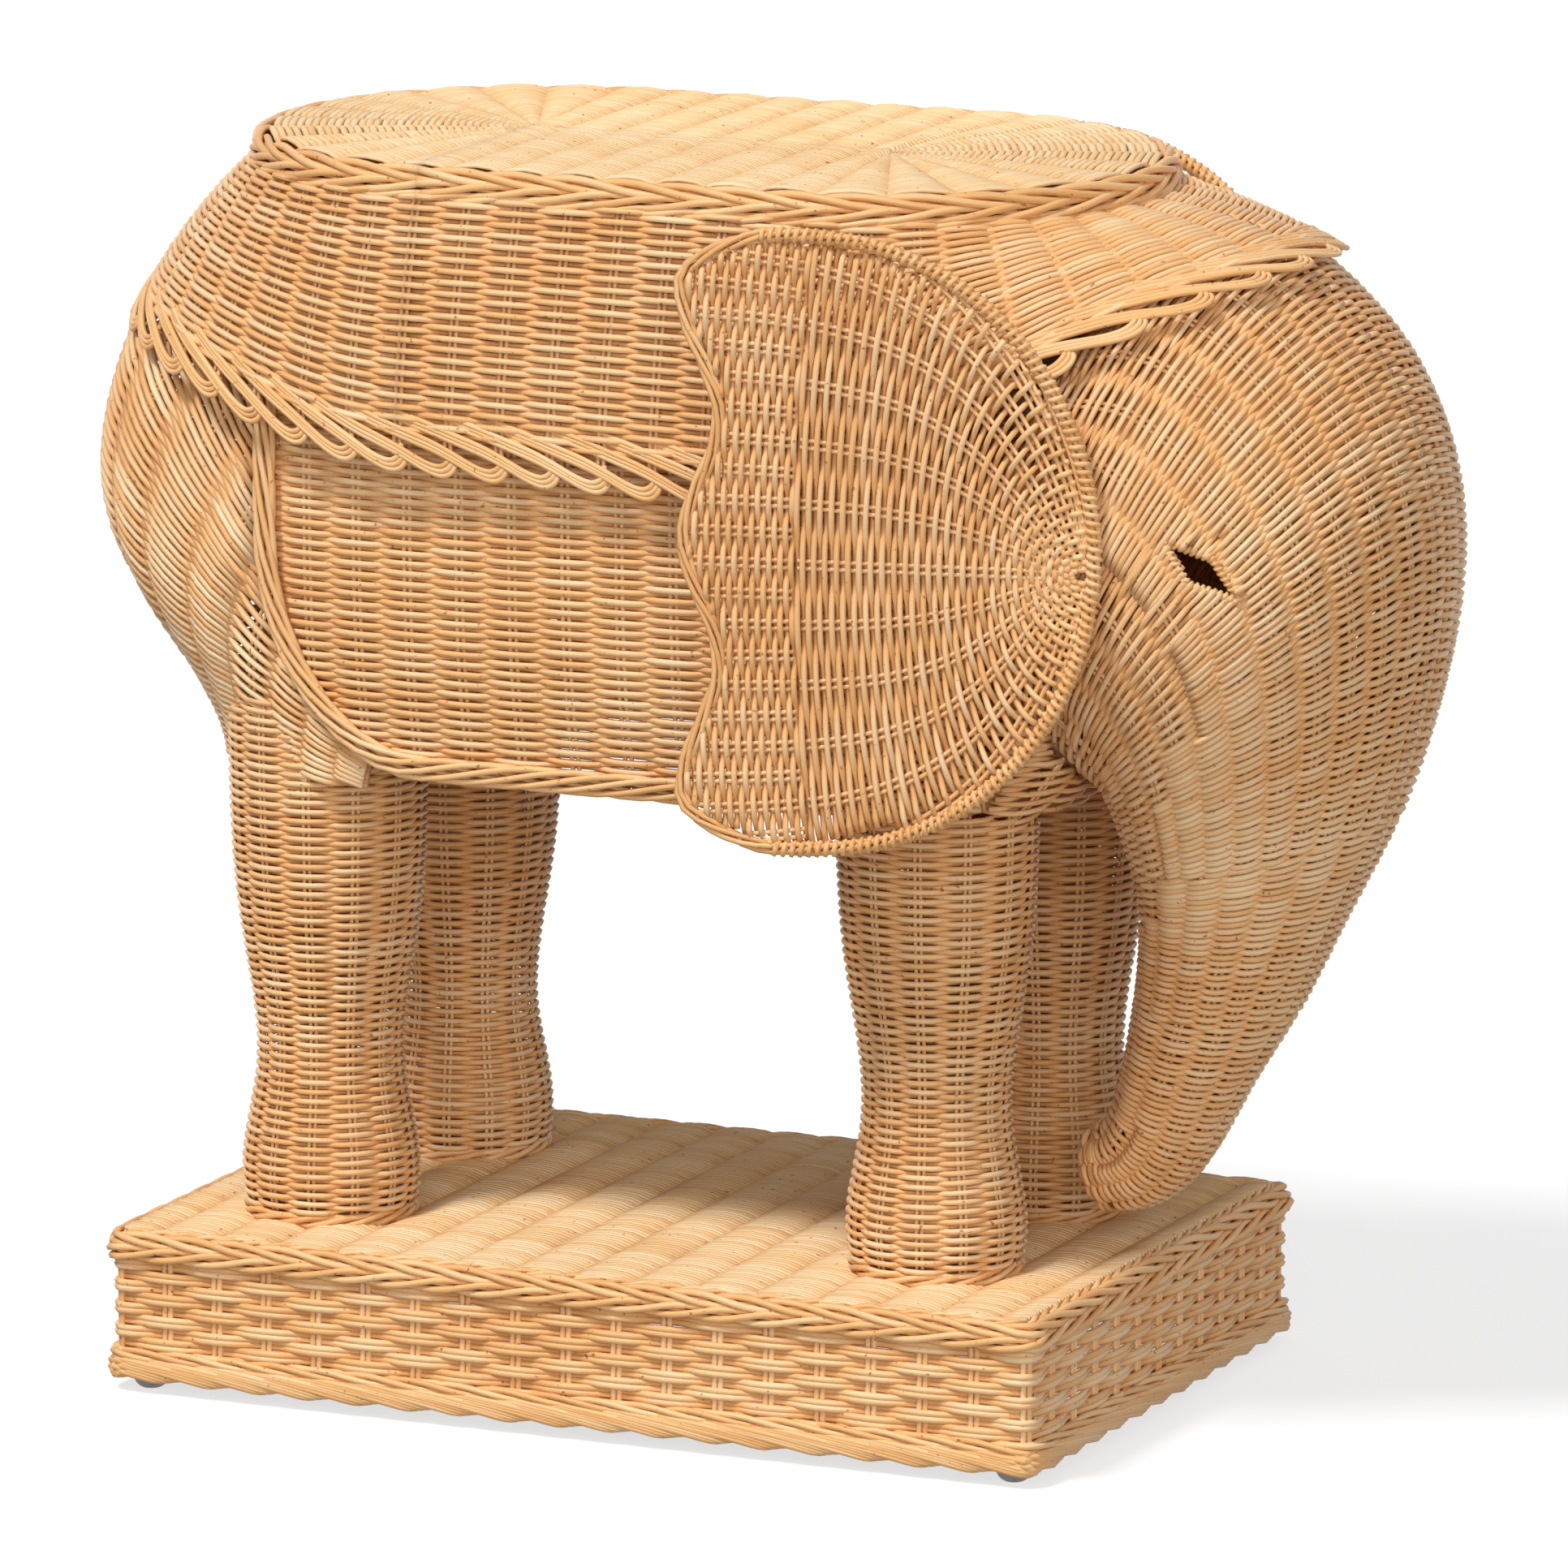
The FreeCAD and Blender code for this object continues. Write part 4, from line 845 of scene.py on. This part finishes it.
chestLook = {"pitch": 2.2 * mm, "radius": 1.22 * mm, "lift": 1.65 * mm, "stakes": 10, "stakeGap": 2.6 * mm,
             "stakeRadius": 0.95 * mm, "leastForward": 0.35, "edge": 0.5 * mm, "firstRow": 1 * mm,
             "castFrom": 0.35, "castReach": 0.3}
chestLow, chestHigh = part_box("chest_panel")
phase = stakePhases(chestLook["stakes"], False)
chestWide = chestHigh.y - chestLow.y - 2 * chestLook["edge"]
ys = chestLow.y + chestLook["edge"] + chestWide * phase / chestLook["stakes"]
zs = np.arange(chestLow.z + chestLook["firstRow"], chestHigh.z, chestLook["pitch"])
starts = np.stack(np.broadcast_arrays(chestLook["castFrom"], ys[None], zs[:, None]), -1)
aims = allFacing(rearward, starts)
points, normals, ok = castGrid(treeOf("chest_panel"), starts, aims, chestLook["castReach"])
ok &= normals[..., 0] > chestLook["leastForward"]
grid = skinGrid(points, normals, ok, phase)
chest = []
weave(chest, grid, chestLook)
addPiece("chest", chest, 5, "rattan_weave", "chest_panel")
print("body woven")


# Legs: rings over twelve stake pairs, a twisted band at the foot

legLook = {"pitch": 1.95 * mm, "radius": 1.22 * mm, "lift": 1.6 * mm, "stakes": 12, "stakeGap": 2.3 * mm,
           "stakeRadius": 0.9 * mm, "foot": 4 * mm, "firstStake": 0.2, "castFrom": 0.075, "castReach": 0.055,
           "band": {"height": 2.2 * mm, "sink": 1.2 * mm, "lay": 44 * mm, "wide": 1.9 * mm, "deep": 1.3 * mm,
                    "radius": 1.4 * mm}}
for end in ("front", "hind"):
    for side in ("right", "left"):
        name = "leg_weave_" + end + "_" + side
        poleLow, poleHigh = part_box("leg_pole_" + end + "_" + side)
        low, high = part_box(name)
        middle = np.array(((poleLow.x + poleHigh.x) / 2, (poleLow.y + poleHigh.y) / 2, 0))
        phase = stakePhases(legLook["stakes"], True)
        turn = 2 * np.pi * phase / legLook["stakes"] + legLook["firstStake"]
        spoke = np.stack([np.cos(turn), np.sin(turn), 0 * turn], -1)
        zs = np.arange(low.z + legLook["foot"], high.z, legLook["pitch"])
        starts = middle + spoke[None] * legLook["castFrom"] + zs[:, None, None] * np.array(upward)
        aims = np.broadcast_to(-spoke[None], starts.shape)
        points, normals, ok = castGrid(treeOf(name), starts, aims, legLook["castReach"])
        # rows that run up inside the body carry on at the width below
        for r in range(1, len(zs)):
            gone = ~ok[r]
            points[r, gone] = points[r - 1, gone] + np.array((0, 0, legLook["pitch"]))
            normals[r, gone] = normals[r - 1, gone]
        grid = skinGrid(points, normals, allWoven(points), phase, True)
        leg = []
        weave(leg, grid, legLook, True)
        band = points[0] - grid[1][0] * legLook["band"]["sink"]
        band[:, 2] = low.z + legLook["band"]["height"]
        rope(leg, band, spoke, 3, legLook["band"])
        addPiece("leg" + end.capitalize() + side.capitalize(), leg, 5, "rattan_weave", name)


# Head and trunk: rings fan from the neck round to the curled tip

headLook = {"pitch": 2.12 * mm, "radius": 1.36 * mm, "lift": 1.65 * mm, "stakes": 30, "stakeGap": 2.6 * mm,
            "stakeRadius": 0.95 * mm, "wander": 0.25 * mm}
trunkLook = {"pitch": 1.95 * mm, "radius": 1.28 * mm, "lift": 1.55 * mm, "upperStakes": 20, "lowerStakes": 12,
             "stakeGap": 2.4 * mm, "stakeRadius": 0.95 * mm, "wander": 0.25 * mm}
# parts are the rings where the trunk starts, where its stakes become fewer and where it ends
hornLook = {"samples": 1200, "castReach": 0.16, "strayShare": 1.6, "strayRoom": 6 * mm, "start": 2 * mm,
            "end": 1 * mm, "parts": [6, 8, 12]}
# front x and z, back x and z, half width, in millimetres
rings = np.array([
    (182, 487, 108, 299, 121), (226, 493, 140, 278, 124), (266, 456, 152, 272, 123),
    (290, 404, 158, 268, 115), (294, 352, 162, 262, 103), (287, 305, 166, 249, 88),
    (273, 258.6, 170, 232, 72), (253, 216, 171, 212, 57), (232, 172.5, 167, 178.5, 43),
    (212, 138.7, 161, 148.6, 34), (197, 110.8, 156, 132.7, 28), (179, 91.8, 152, 124.7, 24),
    (154, 84, 147, 121.8, 21)]) * mm
fine = throughPoints(rings, hornLook["samples"])
frontRun = np.concatenate([[0], np.cumsum(np.linalg.norm(np.diff(fine[:, :2], axis=0), axis=1))])
ringRun = frontRun[np.linspace(0, len(fine) - 1, len(rings)).astype(int)]
trunkTop, trunkBend, trunkEnd = ringRun[hornLook["parts"]]


def ringAt(run):
    return np.stack([np.interp(run, frontRun, fine[:, k]) for k in range(5)], -1)


headTree = treeOf("head_and_trunk")
eyeLook = {"x": 237.1 * mm, "z": 378.5 * mm, "long": 36 * mm, "wide": 10.5 * mm, "slope": 41,
           "clear": 30 * mm, "core": 1.0 * mm, "endRoom": 1 * mm, "edgeRoom": 1.2 * mm, "tone": 0.5,
           "wrap": {"lay": 2.5 * mm, "wide": 1.2 * mm, "deep": 1.2 * mm, "radius": 0.85 * mm}}
slant = math.radians(eyeLook["slope"])


def inEye(points):
    x, z = points[..., 0] - eyeLook["x"], points[..., 2] - eyeLook["z"]
    along = x * math.cos(slant) - z * math.sin(slant)
    across = x * math.sin(slant) + z * math.cos(slant)
    return np.abs(along) / eyeLook["long"] + np.abs(across) / eyeLook["wide"] < 0.5


headLook["opening"] = inEye


def hornGrid(start, stop, look, stakes):
    runs = np.arange(start, stop, look["pitch"])
    ring = ringAt(runs)
    phase = stakePhases(stakes, True)
    turn = 2 * np.pi * phase / stakes
    front = np.stack([ring[:, 0], 0 * runs, ring[:, 1]], -1)
    back = np.stack([ring[:, 2], 0 * runs, ring[:, 3]], -1)
    middle = (front + back) / 2
    aims = (np.cos(turn)[None, :, None] * (front - back)[:, None] / 2
            + np.sin(turn)[None, :, None] * ring[:, 4][:, None, None] * np.array(leftward))
    starts = np.broadcast_to(middle[:, None], aims.shape)
    points, normals, ok = castGrid(headTree, starts, unit(aims), hornLook["castReach"], True)
    reach = np.linalg.norm(points - starts, axis=-1)
    ok &= reach < hornLook["strayShare"] * np.linalg.norm(aims, axis=-1) + hornLook["strayRoom"]
    # rows run on over the eye's opening and are parted at its edges
    for r, c in zip(*np.nonzero(~ok)):
        left, right = (np.arange(1, 6) + c) % len(phase), (c - np.arange(1, 6)) % len(phase)
        if ok[r, left].any() and ok[r, right].any():
            a, b = left[np.argmax(ok[r, left])], right[np.argmax(ok[r, right])]
            guess = (points[r, a] + points[r, b]) / 2
            if np.hypot(guess[0] - eyeLook["x"], guess[2] - eyeLook["z"]) < eyeLook["clear"]:
                points[r, c], normals[r, c] = guess, unit(normals[r, a] + normals[r, b])
    ok |= np.linalg.norm(normals, axis=-1) > 0.5
    return skinGrid(points, normals, ok, phase, True, skinDepth)


grid = hornGrid(hornLook["start"], trunkTop, headLook, headLook["stakes"])
head = []
weaveRows(head, grid, headLook, True, deepest=2)
addPiece("head", head, 5, "rattan_weave", "head_and_trunk")
headStakes = []
weaveStakes(headStakes, grid, headLook, True)
trunk = []
upper = hornGrid(trunkTop, trunkBend, trunkLook, trunkLook["upperStakes"])
weaveRows(trunk, upper, trunkLook, True, deepest=2)
weaveStakes(headStakes, upper, trunkLook, True)
lower = hornGrid(trunkBend, trunkEnd - hornLook["end"], trunkLook, trunkLook["lowerStakes"])
weaveRows(trunk, lower, trunkLook, True, deepest=2)
weaveStakes(headStakes, lower, trunkLook, True)
addPiece("trunk", trunk, 6, "rattan_weave", "head_and_trunk")
addPiece("headStakes", headStakes, 6, "rattan_weave", "head_and_trunk")

# the trunk's end: rounds that draw in and close over it
tipLook = {"rounds": 7, "radius": 1.45 * mm, "lift": 1.25 * mm, "bulge": 9 * mm, "wander": 0.5 * mm,
           "closing": 88}
lastRound, phase = lower[0][-1], lower[3]
tipMiddle = lastRound.mean(axis=0)
tipOut = unit(np.cross(lastRound[len(phase) // 4] - tipMiddle, lastRound[0] - tipMiddle))
tipOut = tipOut * (1 if tipOut[0] < 0 else -1)
draw = (np.arange(tipLook["rounds"]) + 0.5) * tipLook["closing"] / tipLook["rounds"]
draw = np.radians(draw)[:, None, None]
points = tipMiddle + (lastRound - tipMiddle) * np.cos(draw) + tipOut * tipLook["bulge"] * np.sin(draw)
normals = unit(unit(lastRound - tipMiddle) * np.cos(draw) + tipOut * np.sin(draw))
trunkTip = []
tipLook["ease"] = np.cos(draw)[..., 0]
weaveRows(trunkTip, (points, normals, allWoven(points), phase), tipLook, True, deepest=0)
addPiece("trunkTip", trunkTip, 6, "rattan_border", "head_and_trunk")

# the eye: a slit between wrapped edges, the same on both sides
eye = []
for half in (-1, 1):
    t = np.linspace(-1, 1, 40)
    a = t * (eyeLook["long"] / 2 + eyeLook["endRoom"])
    b = half * (eyeLook["wide"] / 2 + eyeLook["edgeRoom"]) * (1 - np.abs(t))
    x = eyeLook["x"] + a * math.cos(slant) + b * math.sin(slant)
    z = eyeLook["z"] - a * math.sin(slant) + b * math.cos(slant)
    points, normals, ok = castFromRight(headTree, x[None], z[None])
    line, lean = (points - normals * eyeLook["core"])[ok], normals[ok]
    addStrand(eye, line, lean, eyeLook["core"], eyeLook["tone"])
    rope(eye, line, lean, 1, eyeLook["wrap"], closed=False)
addPiece("eyeRight", eye, 6, "rattan_border", "head_and_trunk")
addPiece("eyeLeft", mirrored(eye), 6, "rattan_border", "head_and_trunk")
print("head woven")


# Ears: arcs about a point near the front edge over spread stakes, in a wrapped rim

earLook = {"height": 250 * mm, "frontReach": 116 * mm, "rearReach": 53 * mm, "scallop": 15 * mm,
           "cornerReach": 26 * mm, "cornerDrop": 1.5 * mm, "lobePitch": 100 * mm,
           "place": (197.1 * mm, -127.8 * mm, 384.5 * mm), "splay": 11, "hub": (-6 * mm, -8.6 * mm),
           "stretch": 57 * mm, "lap": 4 * mm, "stakeTurn": 13.5, "stakeRise": 26 * mm, "stakes": 7,
           "first": 3 * mm, "split": 118 * mm, "last": 170 * mm, "fullLift": 40 * mm, "pitch": 2.35 * mm,
           "radius": 1.3 * mm, "lift": 1.6 * mm, "stakeGap": 3.0 * mm, "stakeRadius": 0.95 * mm,
           "rimRadius": 1.2 * mm, "rimWrap": 2.6 * mm, "rimPitch": 3.5 * mm, "inset": 1.2 * mm,
           "leastLift": 0.35,
           "rim": {"lay": 80 * mm, "wide": 1.9 * mm, "deep": 1.1 * mm, "radius": 1.2 * mm}}
high = earLook["height"] / 2
bow = np.pi * (0.5 - np.arange(13) / 12)
outline = [(-earLook["frontReach"] * (1 - math.cos(a)), high * math.sin(a)) for a in bow]
outline.append((-earLook["frontReach"] - earLook["cornerReach"], earLook["cornerDrop"] - high))
for k in range(13):
    z = (high - earLook["scallop"]) * (k / 6 - 1)
    notch = earLook["scallop"] * math.sin(math.pi * z / earLook["lobePitch"]) ** 2
    outline.append((-earLook["frontReach"] - earLook["rearReach"] + notch, z))
outline.append((-earLook["frontReach"] - earLook["cornerReach"], high - earLook["cornerDrop"]))
outline = throughPoints(outline, 420, True)
splay = math.radians(earLook["splay"])
earAcross = np.array((math.cos(splay), math.sin(splay), 0))
earOut = np.array((math.sin(splay), -math.cos(splay), 0))


def onEar(flat):
    flat = np.asarray(flat)
    return np.array(earLook["place"]) + flat[..., :1] * earAcross + flat[..., 1:2] * np.array(upward)


def insideEar(flat, inset):
    # keeps what lies inside the outline by the inset
    x, z = flat[..., 0], flat[..., 1]
    hit = np.zeros(x.shape, bool)
    near = np.full(x.shape, 1.0)
    for (x0, z0), (x1, z1) in zip(outline, np.roll(outline, -1, 0)):
        cross = ((z0 > z) != (z1 > z)) & (x < (x1 - x0) * (z - z0) / (z1 - z0 + 1e-12) + x0)
        hit ^= cross
        near = np.minimum(near, np.hypot(x - x0, z - z0))
    return hit & (near > inset)


def earGrid(reaches, phase, perStake):
    # tall arcs about the hub, crossed by stakes that spread from it and level out behind
    share = (phase / perStake - earLook["stakes"])[None]
    tall = reaches[:, None] * (1 + reaches[:, None] / earLook["stretch"])
    fan = tall * np.sin(np.radians(np.clip(share * earLook["stakeTurn"], -89.5, 89.5)))
    level = earLook["stakeRise"] * share
    rise = np.sign(share) / np.sqrt(1 / np.maximum(fan ** 2, 1e-12) + 1 / np.maximum(level ** 2, 1e-12))
    back = -reaches[:, None] * np.sqrt(np.maximum(1 - (rise / tall) ** 2, 0))
    back = back + earLook["lap"] * np.abs(rise / tall) ** 6
    flat = np.stack([back, rise], -1) + np.array(earLook["hub"])
    points = onEar(flat)
    return points, allFacing(earOut, points), insideEar(flat, earLook["inset"]), phase


ear = []
for near, far, perStake in (("first", "split", 1), ("split", "last", 2)):
    reaches = np.arange(earLook[near], earLook[far], earLook["pitch"])
    grid = earGrid(reaches, stakePhases(2 * earLook["stakes"] * perStake, False), perStake)
    ease = np.clip(reaches / earLook["fullLift"], earLook["leastLift"], 1)[:, None]
    weave(ear, grid, {**earLook, "ease": ease}, every=3)
addPair("ear", ear, 6, "rattan_weave", "ear")

# the rim is wrapped round the front, and its cores run bare along the scallops behind
rimLine = onEar(outline)
earRim = []
rope(earRim, rimLine, allFacing(earOut, rimLine), 4, earLook["rim"])
path, run = evenPath(rimLine, earLook["rimPitch"] / 8, True)
ahead = unit(np.gradient(path, axis=0))
sideways = np.cross(ahead, earOut)
turns = round(run[-1] / earLook["rimPitch"])
angle = 2 * np.pi * turns * run / run[-1]
wrap = np.cos(angle)[:, None] * sideways + np.sin(angle)[:, None] * earOut
local = (path - np.array(earLook["place"])) @ earAcross
bare = local < -earLook["frontReach"] - earLook["cornerReach"]
for part in np.array_split(np.arange(len(path)), turns // 3):
    if bare[part].any():
        continue
    part = np.append(part, min(part[-1] + 1, len(path) - 1))
    addStrand(earRim, path[part] + wrap[part] * earLook["rimWrap"], wrap[part], earLook["rimRadius"])
addPair("earRim", earRim, 5, "rattan_border", "ear_rim")
print("ears woven")


# Frame poles, fasteners and glides keep their CAD shapes and get their finishes

for name, node in nodes.items():
    if node.hide_render:
        continue
    if name == "foot_glides":
        finish = glideFinish
    elif name.endswith("nails") or name.endswith("screws"):
        finish = steelFinish
    else:
        finish = poleFinish
    for place in node.material_slots:
        place.material = finish


# Floor, light and camera

# lamps by strength, where the light comes from, and softness in degrees
stageLook = {"floor": 40.0, "paper": 0.3, "glow": 0.7, "sky": 0.24,
             "lamps": (("mainLamp", 2.45, (-0.25, -0.55, 1.0), 12),
                       ("sideLamp", 1.5, (0.65, -1.0, 0.25), 50))}


def backgroundRays(tree):
    rays = addNode(tree, "LightPath", {}).outputs
    seen = addMath(tree, "MAXIMUM", rays["Is Camera Ray"], rays["Is Glossy Ray"])
    return addMath(tree, "MAXIMUM", seen, rays["Is Transmission Ray"])


bpy.ops.object.select_all(action="DESELECT")
bpy.ops.mesh.primitive_plane_add(size=stageLook["floor"], location=(0, 0, 0))
floor = bpy.context.object
floor.name = "floor"
bpy.ops.object.mode_set(mode="EDIT")
bpy.ops.mesh.subdivide(number_cuts=4)
bpy.ops.object.mode_set(mode="OBJECT")
paper, tree, shader = newFinish("white paper")
glow = addMath(tree, "MULTIPLY", backgroundRays(tree), stageLook["glow"])
plug(tree, shader, {"Base Color": (stageLook["paper"],) * 3 + (1,), "Roughness": 0.9,
                    "Emission Color": (1, 1, 1, 1), "Emission Strength": glow})
floor.data.materials.append(paper)

world = bpy.data.worlds.new("studio")
bpy.context.scene.world = world
world.use_nodes = True
tree = world.node_tree
sky = plug(tree, tree.nodes["Background"], {"Color": (1, 1, 1, 1), "Strength": stageLook["sky"]})
plain = addNode(tree, "Background", {"Color": (1, 1, 1, 1), "Strength": 1.0})
pick = addNode(tree, "MixShader", {0: backgroundRays(tree), 1: sky.outputs["Background"],
                                   2: plain.outputs["Background"]})
plug(tree, tree.nodes["World Output"], {"Surface": pick.outputs["Shader"]})

for name, energy, comesFrom, soft in stageLook["lamps"]:
    lamp = bpy.data.objects.new(name, bpy.data.lights.new(name, "SUN"))
    lamp.data.energy = energy
    lamp.data.angle = math.radians(soft)
    lamp.rotation_euler = (-Vector(comesFrom)).to_track_quat("-Z", "Y").to_euler()
    bpy.context.scene.collection.objects.link(lamp)

cameraLook = {"eye": (2.2838, -5.1493, 1.3981), "azimuth": 23.873, "elevation": 11.506, "lens": 317.5,
              "sensor": 36.0, "near": 0.1, "far": 50.0}
a, e = math.radians(cameraLook["azimuth"]), math.radians(cameraLook["elevation"])
backward = Vector((math.sin(a) * math.cos(e), -math.cos(a) * math.cos(e), math.sin(e)))
camera = bpy.data.objects.new("camera", bpy.data.cameras.new("camera"))
bpy.context.scene.collection.objects.link(camera)
camera.location = cameraLook["eye"]
camera.rotation_euler = (-backward).to_track_quat("-Z", "Y").to_euler()
camera.data.lens = cameraLook["lens"]
camera.data.sensor_width = cameraLook["sensor"]
camera.data.clip_start = cameraLook["near"]
camera.data.clip_end = cameraLook["far"]
bpy.context.scene.camera = camera
bpy.context.scene.view_settings.view_transform = "Standard"

print("scene done")
